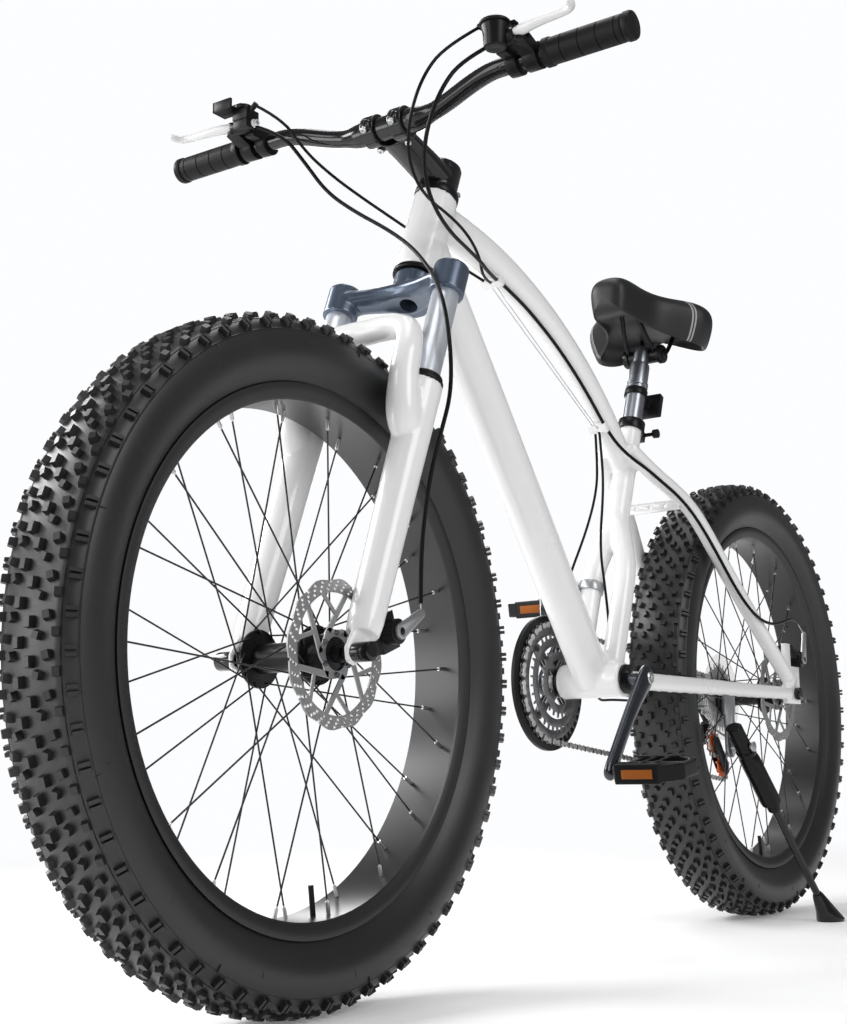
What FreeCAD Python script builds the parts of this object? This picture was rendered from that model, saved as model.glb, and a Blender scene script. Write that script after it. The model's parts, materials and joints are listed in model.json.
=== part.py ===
import FreeCAD, Part
import math
import os

# Fat tire bike in millimetres and degrees.
# +X points forward, +Y to the rider's left and +Z up.
# The origin lies on the ground, midway between the two tires.

V = FreeCAD.Vector
FORWARD = V(1, 0, 0)
LEFT = V(0, 1, 0)
UP = V(0, 0, 1)

# Fits and cuts
running_gap = 0.05
clear_gap = 0.3
overrun = 5.0
path_steps = 200

# Layout
wheelbase = 1230.0
chain_stay_run = 555.0
bracket_rise = 3.0
head_angle = 68.0
seat_angle = 69.5
fork_rake = 38.0

# Tires and inner tubes
tire_radius = 370.0
tire_width = 103.0
tread_flat_width = 44.0
tread_thickness = 9.0
tire_wall = 4.0
shoulder_drop = 15.0
shoulder_inset = 7.0
bead_depth = 8.0
side_bulge_share = 0.45
shoulder_bow_share = 0.3
inner_tube_wall = 2.0
inner_tube_gap = 0.5
inner_tube_seam = 1.0
valve_radius = 3.0
valve_length = 32.0
valve_angle = -97.0

# Rims and spokes
rim_radius = 291.0
rim_width = 74.0
rim_depth = 18.0
rim_taper = 4.0
rim_wall = 2.5
spokes_per_side = 18
spoke_sweep = 60.0
spoke_radius = 1.0
nipple_radius = 2.2
nipple_length = 12.0
spoke_rim_side = 12.0
spoke_stagger = 2.5
spoke_seat_gap = 0.4
spoke_flange_lean = 1.5

# Hubs and axles
axle_radius = 5.0
hub_body_radius = 16.0
hub_flange_radius = 32.0
hub_flange_thickness = 4.0
spoke_circle_radius = 28.0
locknut_radius = 9.5
rotor_boss_radius = 22.0
front_hub_width = 135.0
front_left_flange = 32.0
front_right_flange = 48.0
rear_hub_width = 170.0
rear_left_flange = 34.0
rear_right_flange = 38.0
axle_cap_radius = 10.5
front_axle_length = 212.0
rear_axle_length = 202.0
freewheel_core_radius = 17.0
protector_radius = 75.0
protector_thickness = 1.5
protector_gap = 4.0

# Rotors
rotor_radius = 80.0
rotor_band = 15.0
rotor_thickness = 2.0
rotor_ring_radius = 27.0
rotor_bore_radius = 17.5
rotor_arms = 6
rotor_arm_width = 7.0
rotor_arm_lean = 45.0
rotor_leg_gap = 2.0
rear_rotor_inset = 26.0

# Fork
tire_side_gap = 5.5
leg_top_radius = 23.0
leg_bottom_radius = 19.5
leg_bottom_along = 24.0
leg_length = 336.0
leg_floor = 90.0
stanchion_radius = 16.5
stanchion_wall = 2.5
stanchion_offset = 30.0
stanchion_stop = 60.0
fork_travel = 50.0
seal_height = 9.0
seal_radius = 20.5
arch_radius = 13.0
arch_gap = 49.0
arch_forward = 58.0
arch_root_along = 300.0
arch_root_forward = 40.0
arch_bend = 32.0
arch_shoulder_inset = 14.0
arch_shoulder_drop = 45.0
front_dropout_thickness = 8.0
front_dropout_round = 15.0
front_tab_overlap = 14.0
crown_clamp_top = 515.0
crown_clamp_height = 43.0
crown_clamp_wall = 5.0
crown_rise = 25.0
crown_boss_radius = 27.0
crown_boss_height = 42.0
crown_arm_width = 40.0
crown_arm_height = 30.0
crown_pocket_wall = 5.0
crown_pocket_depth = 16.0
steerer_radius = 14.3
steerer_wall = 2.6
spring_radius = 12.0
spring_wall = 3.0

# Head tube and headset
head_radius = 29.0
head_length = 116.0
head_bore_gap = 2.0
cup_height = 12.0
cup_lip = 2.0
upper_cup_height = 10.0

# Stem and handlebar
stem_clamp_radius = 22.0
stem_clamp_height = 42.0
stem_length = 119.5
stem_drop = 11.0
stem_width = 40.0
stem_height = 32.0
stem_tip_height = 24.0
top_cap_height = 4.0
top_cap_radius = 17.0
cradle_width = 72.0
cradle_depth = 26.0
cradle_reach = 30.0
strap_width = 20.0
strap_spread = 22.0
strap_wall = 5.0
strap_ear = 8.0
strap_gap = 2.0
strap_bolt_head = 5.0
bar_radius = 11.1
bar_middle_radius = 15.5
bar_middle_length = 84.0
bar_taper_length = 26.0
bar_half_width = 344.0
bar_rise = 26.0
bar_sweep = 8.0
bar_bend_start = 66.0
bar_bend_end = 150.0
bar_bend_radius = 70.0
grip_length = 114.0
grip_radius = 16.0
grip_end = 2.0
grip_collar_radius = 17.0
grip_collar_length = 9.0

# Brake levers and shifters
lever_clamp_inset = 127.0
lever_clamp_side = bar_half_width - lever_clamp_inset
lever_clamp_width = 18.0
control_wall = 5.0
lever_block_height = 16.0
lever_block_rise = 12.0
lever_pivot_forward = 38.0
lever_pivot_radius = 3.0
lever_jaw_length = 22.0
lever_thickness = 7.0
lever_blade_width = 9.0
lever_root_radius = 7.0
lever_elbow_forward = 14.0
lever_elbow_out = 60.0
lever_tip_forward = 22.0
lever_tip_out = 84.0
lever_tip_radius = 6.5
barrel_radius = 5.5
barrel_length = 20.0
shifter_inset = 152.0
shifter_side = bar_half_width - shifter_inset
shifter_clamp_width = 12.0
shifter_forward = 46.0
shifter_rise = 33.0
drum_radius = 18.0
drum_height = 18.0
shift_lever_thickness = 4.0
shift_lever_length = 34.0
shift_lever_width = 12.0
shift_pad_height = 12.0
shift_cap_height = 6.0

# Frame tubes
top_tube_joint = 88.5
top_tube_front_height = 52.0
top_tube_front_width = 46.0
top_tube_rear_height = 38.0
top_tube_rear_width = 34.0
top_tube_bow = 60.0
top_tube_seat_drop = 84.0
top_tube_sections = 7
down_tube_joint = 43.0
down_tube_height = 58.0
down_tube_width = 54.0
tube_wall = 2.5
seat_tube_length = 438.0
seat_tube_radius = 17.5
seat_leg_split = 258.0
seat_leg_start = 14.0
seat_leg_blend = 80.0
seat_leg_spread = 27.0
seat_leg_radius = 16.0
seat_leg_bend = 120.0
shell_radius = 25.0
shell_length = 100.0
shell_bore_gap = 8.0
bracket_cup_radius = 21.0
bracket_cup_length = 4.0

# Rear triangle
chain_stay_width = 16.0
chain_stay_front_height = 28.0
chain_stay_rear_height = 22.0
chain_stay_inset = 8.0
chain_stay_end = 22.0
seat_stay_radius = 12.5
seat_stay_bend = 110.0
seat_stay_joint = 72.0
seat_stay_joint_side = 23.0
seat_stay_joint_forward = 34.0
seat_stay_end_forward = 28.0
seat_stay_end_rise = 26.0
seat_stay_run_shares = (0.0, 0.106, 0.25, 0.345, 0.44, 0.598, 1.0)
seat_stay_drop_shares = (0.0, 0.083, 0.17, 0.255, 0.382, 0.606, 1.0)
seat_stay_spread_shares = (0.0, 0.149, 0.4, 0.537, 0.657, 0.836, 1.0)
dropout_thickness = 7.0
dropout_front = 42.0
dropout_back = 19.0
dropout_bottom = 17.0
dropout_top = 46.0
dropout_tab_height = 84.0
dropout_tab_front = 40.0
dropout_tab_back = 18.0
eyelet_radius = 2.6
eyelet_back = 8.0
eyelet_rise = 28.0
bridge_height = 16.0
bridge_thickness = 3.0
bridge_hole_radius = 3.0
bridge_hole_pitch = 25.0
bridge_share = 0.235
bridge_drop = 13.0

# Seat post, clamp and reflector
post_radius = 15.8
post_wall = 3.0
post_top = 576.0
post_bottom = 300.0
post_neck_radius = 12.5
post_neck_height = 30.0
post_ring_radius = 17.3
post_ring_height = 7.0
post_ring_drop = 73.0
seat_clamp_wall = 4.0
seat_clamp_height = 16.0
seat_clamp_drop = 1.0
clamp_ear_width = 16.0
clamp_ear_depth = 12.0
clamp_bolt_radius = 3.0
clamp_bolt_half = 26.0
clamp_knob_radius = 7.0
clamp_knob_length = 8.0
clamp_lever_radius = 7.0
clamp_lever_length = 46.0
clamp_lever_thickness = 8.0
reflector_drop = 12.0
reflector_band_height = 12.0
reflector_band_wall = 2.5
reflector_width = 50.0
reflector_height = 38.0
reflector_thickness = 12.0
reflector_arm = 16.0
reflector_arm_width = 14.0

# Saddle
saddle_nose_ahead = 160.0
saddle_back = 78.0
saddle_top_rise = 84.0
saddle_rear_width = 202.0
saddle_nose_width = 66.0
saddle_skirt = 84.0
saddle_crown = 18.0
saddle_nose_lift = 12.0
saddle_wall = 14.0
saddle_pocket_rise = 34.0
saddle_base_gap = 0.3
saddle_base_thickness = 5.0
saddle_station_shares = (0.0, 0.06, 0.2, 0.42, 0.62, 0.8, 0.94, 1.0)
saddle_width_shares = (0.3, 0.8, 1.0, 1.06, 1.75, 2.7, 3.06, 2.9)
saddle_top_shares = (-0.35, 0.0, 0.1, 0.0, -0.1, 0.0, -0.1, -0.55)
saddle_skirt_shares = (0.45, 0.68, 0.78, 0.78, 0.86, 0.98, 1.0, 0.72)
saddle_corner_share = 0.78
saddle_side_share = 0.45
saddle_draw_share = 0.84
rail_radius = 3.5
rail_spread = 22.0
rail_front_spread = 10.0
rail_half_length = 34.0
rail_rise_front = 84.0
rail_rise_back = 54.0
clamp_block_width = 58.0
clamp_block_length = 34.0
clamp_block_height = 16.0

# Cranks, chainrings and pedals
crank_length = 170.0
crank_angle = 42.0
crank_arm_side = 89.0
crank_arm_thickness = 15.0
crank_eye_thickness = 12.0
crank_root_radius = 17.0
crank_eye_radius = 13.0
spindle_radius = 8.5
chain_pitch = 12.7
chain_line = 68.0
ring_spacing = 5.5
ring_thickness = 2.0
ring_teeth = (42, 34, 24)
ring_band = 16.0
spider_arms = 4
spider_arm_width = 16.0
spider_radius = 22.0
tooth_tip_share = 0.24
tooth_root_share = 0.3
tooth_base_share = 0.2
tooth_point_share = 0.08
guard_radius = 94.0
guard_band = 16.0
guard_thickness = 2.5
pedal_length = 94.0
pedal_width = 84.0
pedal_height = 28.0
pedal_gap = 4.0
pedal_wall = 14.0
pedal_core_width = 22.0
pedal_axle_radius = 6.0
pedal_reflector_length = 54.0
pedal_reflector_height = 14.0
pedal_reflector_thickness = 3.0

# Freewheel and chain
sprocket_teeth = (28, 24, 22, 20, 18, 16, 14)
sprocket_spacing = 5.0
sprocket_thickness = 1.8
driven_sprocket = 4
sprocket_core_radius = 22.0
jockey_teeth = 11
jockey_thickness = 2.0
jockey_boss_radius = 7.0
jockey_bore_radius = 3.0
jockey_hole_gap = 0.05
guide_back = 9.0
guide_drop = 77.0
tension_back = 42.0
tension_drop = 120.0
chain_plate = 1.2
chain_plate_height = 8.4
chain_pin_radius = 1.8
chain_side_gap = 0.3
chain_pin_margin = 26.0

# Rear derailleur
mech_side = 82.0
mech_pivot_back = 44.0
mech_pivot_drop = 52.0
mech_link_length = 40.0
mech_slant = 30.0
mech_pin_radius = 3.0
mech_link_radius = 7.0
mech_link_height = 10.0
mech_lug_height = 4.0
mech_lug_radius = 7.0
mech_hanger_width = 22.0
mech_hanger_thickness = 6.0
cage_plate = 1.6
cage_gap = 5.6
cage_end_radius = 12.0
cage_arm_radius = 5.0

# Front derailleur
band_height = 14.0
band_wall = 2.5
band_along = 150.0
front_mech_arm = 14.0
front_cage_gap = 6.0
front_cage_plate = 1.6
front_cage_length = 78.0
front_cage_height = 30.0
front_cage_lift = 2.5
front_cage_shift = 18.0
front_pivot_side = 58.0
front_pivot_rise = 62.0
front_pivot_radius = 3.0
front_pivot_length = 22.0
front_link_radius = 6.5

# Brake calipers
caliper_front_angle = 160.0
caliper_rear_angle = 128.0
caliper_half_length = 21.0
caliper_inner_reach = 17.0
caliper_outer_reach = 14.0
caliper_inboard = 15.0
caliper_outboard = 15.0
caliper_slot_gap = 3.2
caliper_slot_depth = 3.0
caliper_can_radius = 14.0
caliper_can_length = 14.0
pad_thickness = 2.4
pad_radius = 11.0
pad_rotor_gap = 0.6
mount_bar_thickness = 6.0
mount_bar_width = 16.0
brake_arm_length = 44.0
brake_arm_thickness = 5.0
brake_arm_root_radius = 9.0
brake_arm_tip_radius = 5.0
brake_arm_pin_radius = 4.0
front_arm_angle = 150.0
rear_arm_angle = 100.0

# Kickstand
stand_top = V(-355.0, 85.0, 310.0)
stand_foot = V(-574.0, 144.0, 0.0)
stand_pivot_share = 0.1
stand_sleeve_share = 0.42
stand_sleeve_radius = 12.5
stand_rod_radius = 7.5
stand_rod_depth = 95.0
stand_foot_length = 44.0
stand_foot_radius = 11.0
stand_foot_flare = 20.0
stand_pin_radius = 5.0
stand_pin_length = 6.0
stand_cap_gap = 2.0
stand_cap_radius = 8.0
stand_plate_thickness = 5.0
stand_plate_width = 32.0
stand_hole_radius = 5.0
stand_tab_length = 40.0
stand_tab_height = 18.0

# Cables
brake_cable_radius = 2.5
shift_cable_radius = 2.0
inner_wire_radius = 0.8
cord_reach_share = 0.45
clip_front_share = 0.26
clip_rear_share = 0.84
clip_length = 14.0
clip_width = 30.0
clip_height = 9.0
clip_seat = 1.0
front_brake_route = [
    V(478, -187, 1076), V(464, -147, 1060), V(444, -124, 1020), V(431, -99, 978), V(419, -61, 946),
    V(413, -20, 918), V(419, 20, 886), V(435, 54, 852), V(454, 84, 816), V(470, 106, 774),
    V(472, 114, 725), V(465, 109, 674), V(476, 101, 626), V(489, 95, 577), V(497, 91, 527),
    V(502, 89, 477), V(503, 89, 430),
]
right_shift_route = [
    V(487, -173, 1097), V(472, -137, 1073), V(453, -118, 1032), V(427, -94, 1001), V(392, -73, 978),
    V(350, -59, 962), V(306, -49, 949), V(262, -38, 934), V(228, -22, 916), V(196, -9, 904),
]
left_shift_route = [
    V(487, 173, 1097), V(514, 141, 1071), V(536, 124, 1031), V(531, 101, 989), V(501, 77, 960),
    V(459, 60, 943), V(412, 48, 938), V(363, 43, 936), V(315, 38, 928), V(269, 28, 912),
    V(232, 9, 895), V(196, 0, 901),
]
left_brake_route = [
    V(480, 187, 1075), V(501, 155, 1055), V(521, 138, 1016), V(522, 119, 974), V(492, 93, 948),
    V(454, 74, 928), V(410, 60, 915), V(364, 49, 908), V(318, 40, 906), V(271, 31, 903),
    V(232, 19, 901), V(196, 9, 903),
]
rear_brake_route = [
    V(190, 9, 903), V(138, 9, 890), V(94, 9, 874), V(52, 9, 856), V(11, 9, 835), V(-29, 9, 811),
    V(-67, 9, 785), V(-103, 10, 755), V(-126, 18, 730), V(-150, 30, 711), V(-180, 39, 699),
    V(-214, 48, 682), V(-249, 57, 665), V(-281, 64, 644), V(-310, 70, 618), V(-338, 75, 590),
    V(-364, 80, 561), V(-391, 85, 532), V(-420, 90, 507), V(-452, 95, 488), V(-485, 100, 480),
    V(-523, 103, 482), V(-562, 102, 491), V(-601, 98, 497), V(-637, 93, 492),
]
front_mech_route = [
    V(-108, -9, 750), V(-113, -11, 725), V(-123, -16, 702), V(-140, -26, 679), V(-150, -38, 650),
    V(-145, -48, 613), V(-129, -54, 577), V(-112, -57, 549), V(-101, -58, 530),
]
rear_mech_route = [
    V(-103, 0, 750), V(-104, 2, 715), V(-103, 4, 675), V(-98, 4, 635), V(-93, 2, 595), V(-95, 0, 558),
    V(-103, 0, 520), V(-110, 0, 482), V(-116, -1, 446), V(-123, -9, 412), V(-133, -26, 380),
    V(-148, -42, 357), V(-174, -51, 350), V(-217, -57, 353), V(-270, -61, 354), V(-330, -66, 355),
    V(-390, -71, 354), V(-450, -76, 355), V(-508, -81, 353), V(-556, -89, 347), V(-600, -101, 345),
    V(-640, -108, 356), V(-684, -110, 372), V(-726, -108, 376), V(-758, -103, 360), V(-768, -97, 330),
    V(-750, -91, 306), V(-715, -85, 303), V(-676, -82, 313),
]
bare_wire_ends = (
    (V(186, -6, 899), V(-98, -6, 754)),
    (V(186, 2, 897), V(-97, 1, 751)),
)


# Shape helpers

def unit(vector):
    return V(vector).normalize()


def rod(start, end, radius):
    return Part.makeCylinder(radius, (end - start).Length, start, end - start)


def longer(start, end, extra):
    step = unit(end - start) * extra
    return start - step, end + step


def sleeve(start, end, outer, inner):
    low, high = longer(start, end, overrun)
    return rod(start, end, outer).cut(rod(low, high, inner))


def cone(start, end, start_radius, end_radius):
    if start_radius == end_radius:
        return rod(start, end, start_radius)
    return Part.makeCone(start_radius, end_radius, (end - start).Length, start, end - start)


def fused(shapes):
    return shapes[0].multiFuse(shapes[1:]).removeSplitter()


def mirrored(shape):
    return shape.mirror(V(0, 0, 0), LEFT)


def turned(shape, centre, axis, degrees):
    copy = shape.copy()
    copy.rotate(centre, axis, degrees)
    return copy


def polygon(points):
    return Part.Face(Part.makePolygon(points + [points[0]]))


def block(centre, along, across, up, length, width, height):
    corner = centre - along * (length / 2) - across * (width / 2) - up * (height / 2)
    points = [corner]
    points.append(corner + along * length)
    points.append(corner + along * length + across * width)
    points.append(corner + across * width)
    return polygon(points).extrude(up * height)


def oval(centre, across, up, width, height):
    wide = centre + across * (width / 2)
    tall = centre + up * (height / 2)
    if width > height:
        curve = Part.Ellipse(wide, tall, centre)
    elif height > width:
        curve = Part.Ellipse(tall, wide, centre)
    else:
        curve = Part.Circle(centre, across.cross(up), width / 2)
    return Part.Wire(curve.toShape())


def rounded_path(points, bend_radius=None):
    # Straight runs joined by tangent arcs, each as large as its runs allow.
    edges = []
    radii = []
    last = points[0]
    for before, corner, after in zip(points, points[1:], points[2:]):
        back = before - corner
        ahead = after - corner
        half_turn = (math.pi - back.getAngle(ahead)) / 2
        reach = cord_reach_share * min(back.Length, ahead.Length)
        if bend_radius:
            reach = min(reach, bend_radius * math.tan(half_turn))
        radius = reach / math.tan(half_turn)
        entry = corner + unit(back) * reach
        leave = corner + unit(ahead) * reach
        inward = unit(unit(back) + unit(ahead))
        middle = corner + inward * (radius / math.cos(half_turn) - radius)
        edges.append(Part.LineSegment(last, entry).toShape())
        edges.append(Part.Arc(entry, middle, leave).toShape())
        radii.append(radius)
        last = leave
    edges.append(Part.LineSegment(last, points[-1]).toShape())
    return Part.Wire(edges), radii


def bent_rod(points, radius, bend_radius=None):
    path, radii = rounded_path(points, bend_radius)
    ring = Part.Wire(Part.Circle(points[0], points[1] - points[0], radius).toShape())
    return path.makePipeShell([ring], True, False)


def spun(profile, centre):
    # Turns an outline of (radius, side) points about the wheel's axis.
    points = [centre + FORWARD * radius + LEFT * side for radius, side in profile]
    return polygon(points).revolve(centre, LEFT, 360)


def stacked(centre, steps):
    # Joins round steps of (radius, from side, to side) on one axis.
    rods = [rod(centre + LEFT * low, centre + LEFT * high, radius) for radius, low, high in steps]
    return fused(rods)


def rounded_bar(start, end, start_radius, end_radius, thickness):
    # A flat bar with round ends, from start to end, thickness given as a vector.
    step = unit(end - start)
    side = unit(thickness.cross(step))
    ends = [rod(start, start + thickness, start_radius), rod(end, end + thickness, end_radius)]
    points = [start + side * start_radius, end + side * end_radius]
    points += [end - side * end_radius, start - side * start_radius]
    return fused([polygon(points).extrude(thickness)] + ends)


# Places worked out from the sizes above

front_axle_at = V(wheelbase / 2, 0, tire_radius)
rear_axle_at = V(-wheelbase / 2, 0, tire_radius)
bracket_at = V(chain_stay_run - wheelbase / 2, 0, tire_radius + bracket_rise)
head = math.radians(head_angle)
seat = math.radians(seat_angle)
fork_up = V(-math.cos(head), 0, math.sin(head))
fork_front = V(math.sin(head), 0, math.cos(head))
fork_base = front_axle_at - fork_front * fork_rake
seat_up = V(-math.cos(seat), 0, math.sin(seat))
seat_back = V(-math.sin(seat), 0, -math.cos(seat))
leg_side = tire_width / 2 + tire_side_gap + leg_top_radius
front_rotor_side = leg_side - leg_bottom_radius - rotor_leg_gap - rotor_thickness / 2
rear_rotor_side = rear_hub_width / 2 - rear_rotor_inset
leg_top_along = leg_bottom_along + leg_length
crown_top = crown_clamp_top + crown_rise
head_low = crown_top + clear_gap + cup_height
head_top = head_low + head_length
stem_base = head_top + upper_cup_height + clear_gap
stem_top = stem_base + stem_clamp_height
bar_along = stem_base + stem_clamp_height / 2 - stem_drop
rim_bed_radius = rim_radius - rim_depth
dropout_side = rear_hub_width / 2
crank_turn = math.radians(crank_angle)
crank_way = V(math.sin(crank_turn), 0, -math.cos(crank_turn))
chain_plane = -chain_line
guide_at = rear_axle_at + V(-guide_back, chain_plane, -guide_drop)
tension_at = rear_axle_at + V(-tension_back, chain_plane, -tension_drop)


def on_fork(along, forward=0.0, side=0.0):
    return fork_base + fork_up * along + fork_front * forward + LEFT * side


def on_seat(along, back=0.0, side=0.0):
    return bracket_at + seat_up * along + seat_back * back + LEFT * side


def beside(centre, side):
    return centre + LEFT * side


bar_at = on_fork(bar_along, stem_length)
grip_line = bar_at + UP * bar_rise + FORWARD * bar_sweep


# Wheels

def tire(centre):
    half = tire_width / 2
    flat = tread_flat_width / 2
    bead_side = rim_width / 2 - rim_wall - clear_gap
    bead_slope = rim_taper * bead_depth / rim_depth
    side_radius = rim_radius + (tire_radius - rim_radius) * side_bulge_share
    shoulder_radius = tire_radius - shoulder_drop
    shoulder_side = half - shoulder_inset
    bow_radius = tire_radius - shoulder_drop * shoulder_bow_share
    bow_side = (shoulder_side + flat) / 2 + shoulder_inset * shoulder_bow_share

    def at(radius, side):
        return centre + FORWARD * radius + LEFT * side

    def line(start, end):
        return Part.LineSegment(at(*start), at(*end)).toShape()

    def arc(start, middle, end):
        return Part.Arc(at(*start), at(*middle), at(*end)).toShape()

    def half_edges(sign):
        toe = (rim_radius - bead_depth, sign * (bead_side - bead_slope))
        heel = (rim_radius + clear_gap, sign * bead_side)
        bulge = (side_radius, sign * half)
        shoulder = (shoulder_radius, sign * shoulder_side)
        bow = (bow_radius, sign * bow_side)
        crown = (tire_radius, sign * flat)
        inner_toe = (toe[0], sign * (bead_side - bead_slope - tire_wall))
        inner_heel = (heel[0], sign * (bead_side - tire_wall))
        inner_bulge = (side_radius, sign * (half - tire_wall))
        inner_crown = (tire_radius - tread_thickness, sign * flat)
        edges = [line(toe, heel), arc(heel, bulge, shoulder), arc(shoulder, bow, crown)]
        edges += [line(toe, inner_toe), line(inner_toe, inner_heel)]
        edges.append(arc(inner_heel, inner_bulge, inner_crown))
        return edges, crown, inner_crown

    left, left_crown, left_inner = half_edges(1)
    right, right_crown, right_inner = half_edges(-1)
    tops = [line(left_crown, right_crown), line(left_inner, right_inner)]
    ordered = Part.sortEdges(left + right + tops)[0]
    return Part.Face(Part.Wire(ordered)).revolve(centre, LEFT, 360)


def inner_tube(centre):
    # A thin ring inside the tire with its seam against the rim, and the valve.
    half = tire_width / 2 - tire_wall - inner_tube_gap
    bed_half = rim_width / 2 - rim_taper - rim_wall - tire_wall - inner_tube_gap
    low = rim_bed_radius + rim_wall + inner_tube_gap
    high = tire_radius - tread_thickness - inner_tube_gap
    flat = tread_flat_width / 2
    side = rim_radius + (tire_radius - rim_radius) * side_bulge_share
    wall = inner_tube_wall
    seam = inner_tube_seam / 2
    outer = [(low, seam), (low, bed_half), (rim_radius, bed_half), (side, half - wall), (high, flat)]
    inner = [(high - wall, flat - wall), (side, half - wall - wall), (rim_radius, bed_half - wall)]
    inner += [(low + wall, bed_half - wall), (low + wall, seam)]
    left = outer + [(high, 0)] + [(high - wall, 0)] + inner
    half_ring = spun(left, centre)
    turn = math.radians(valve_angle)
    outward = V(math.cos(turn), 0, math.sin(turn))
    foot = centre + outward * low
    valve = rod(foot, foot - outward * (valve_length + rim_wall), valve_radius)
    return [fused([half_ring, mirrored(half_ring)]), valve]


def rim(centre):
    half = rim_width / 2
    bed = half - rim_taper
    profile = [(rim_radius, half), (rim_bed_radius, bed), (rim_bed_radius, -bed), (rim_radius, -half)]
    profile += [(rim_radius, -half + rim_wall), (rim_bed_radius + rim_wall, -bed + rim_wall)]
    profile += [(rim_bed_radius + rim_wall, bed - rim_wall), (rim_radius, half - rim_wall)]
    turn = math.radians(valve_angle)
    outward = V(math.cos(turn), 0, math.sin(turn))
    start = centre + outward * (rim_bed_radius - overrun)
    hole = rod(start, centre + outward * rim_radius, valve_radius + clear_gap)
    return spun(profile, centre).cut(hole)


def spokes(centre, left_flange, right_flange):
    # Each side crosses, with heads alternating between the flange's two faces.
    made = []
    step = 360.0 / spokes_per_side
    rim_reach = rim_bed_radius - spoke_seat_gap
    face = hub_flange_thickness / 2 + spoke_radius + running_gap
    for sign, flange in ((1, left_flange), (-1, right_flange)):
        for index in range(spokes_per_side):
            outside = 1 if index % 2 else -1
            start_turn = math.radians(index * step + (step / 2 if sign < 0 else 0))
            end_turn = start_turn + math.radians(spoke_sweep) * outside
            lean = spoke_flange_lean if outside > 0 else 0
            head_side = sign * (flange + outside * (face + lean))
            tip_side = sign * (spoke_rim_side + outside * spoke_stagger)
            start = centre + V(math.cos(start_turn), 0, math.sin(start_turn)) * spoke_circle_radius
            end = centre + V(math.cos(end_turn), 0, math.sin(end_turn)) * rim_reach
            start = start + LEFT * head_side
            end = end + LEFT * tip_side
            inward = unit(start - end) * nipple_length
            wire = rod(start, end, spoke_radius)
            made.append(fused([wire, rod(end, end + inward, nipple_radius)]))
    return made


def hub(centre, width, left_flange, right_flange, rotor_side, right_core=0.0):
    half = width / 2 - clear_gap
    thick = hub_flange_thickness / 2
    boss_end = rotor_side - rotor_thickness / 2
    steps = [(hub_body_radius, -right_flange, left_flange), (locknut_radius, -half, half)]
    steps.append((hub_flange_radius, left_flange - thick, left_flange + thick))
    steps.append((hub_flange_radius, -right_flange - thick, -right_flange + thick))
    steps.append((rotor_boss_radius, left_flange, boss_end))
    if right_core:
        steps.append((freewheel_core_radius, -right_core, -right_flange))
    bore = rod(beside(centre, -width), beside(centre, width), axle_radius + running_gap)
    return stacked(centre, steps).cut(bore)


def rotor(centre, side):
    low = beside(centre, side - rotor_thickness / 2)
    high = beside(centre, side + rotor_thickness / 2)
    band = sleeve(low, high, rotor_radius, rotor_radius - rotor_band)
    ring = sleeve(low, high, rotor_ring_radius, rotor_bore_radius)
    arms = []
    for index in range(rotor_arms):
        turn = index * 360.0 / rotor_arms
        reach = rotor_radius - rotor_band / 2
        start = low + FORWARD * (rotor_ring_radius - rotor_arm_width / 2)
        lean = math.radians(rotor_arm_lean)
        end = low + V(math.cos(lean), 0, math.sin(lean)) * reach
        step = end - start
        arm = block(
            start + step / 2 + LEFT * (rotor_thickness / 2),
            unit(step), unit(LEFT.cross(step)), LEFT,
            step.Length, rotor_arm_width, rotor_thickness,
        )
        arms.append(turned(arm, centre, LEFT, turn))
    return fused([band, ring] + arms)


def axle(centre, length, seat_half, thickness):
    half = length / 2
    shaft = rod(beside(centre, -half), beside(centre, half), axle_radius)
    caps = []
    for sign in (1, -1):
        inner = sign * (seat_half + thickness)
        caps.append(
            sleeve(beside(centre, inner), beside(centre, sign * half), axle_cap_radius, axle_radius),
        )
    return [shaft] + caps


def toothed_disc(centre, teeth, thickness, bore_radius, phase=0.0):
    pitch_turn = 2 * math.pi / teeth
    pitch_radius = chain_pitch / (2 * math.sin(math.pi / teeth))
    tip = pitch_radius + chain_pitch * tooth_tip_share
    root = pitch_radius - chain_pitch * tooth_root_share
    points = []
    low = centre - LEFT * (thickness / 2)
    for index in range(teeth):
        middle = phase + (index + 0.5) * pitch_turn
        outline = [(-tooth_base_share, root), (-tooth_point_share, tip)]
        outline += [(tooth_point_share, tip), (tooth_base_share, root)]
        for share, radius in outline:
            turn = middle + share * pitch_turn
            points.append(low + V(math.cos(turn), 0, math.sin(turn)) * radius)
    disc = polygon(points).extrude(LEFT * thickness)
    return disc.cut(rod(low - LEFT * overrun, low + LEFT * (thickness + overrun), bore_radius))


def freewheel():
    outward = [
        chain_line + (index - driven_sprocket) * sprocket_spacing for index in range(len(sprocket_teeth))
    ]
    discs = []
    for side, teeth in zip(outward, sprocket_teeth):
        centre = beside(rear_axle_at, -side)
        discs.append(toothed_disc(centre, teeth, sprocket_thickness, freewheel_core_radius + running_gap))
    start = beside(rear_axle_at, -outward[-1] - sprocket_thickness / 2)
    end = beside(rear_axle_at, -outward[0] + sprocket_thickness / 2)
    core = sleeve(start, end, sprocket_core_radius, freewheel_core_radius + running_gap)
    return fused([core] + discs)


def spoke_protector():
    inner = -(rear_right_flange + hub_flange_thickness / 2 + protector_gap)
    start = beside(rear_axle_at, inner)
    end = beside(rear_axle_at, inner - protector_thickness)
    return sleeve(start, end, protector_radius, freewheel_core_radius)


# Fork

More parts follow.
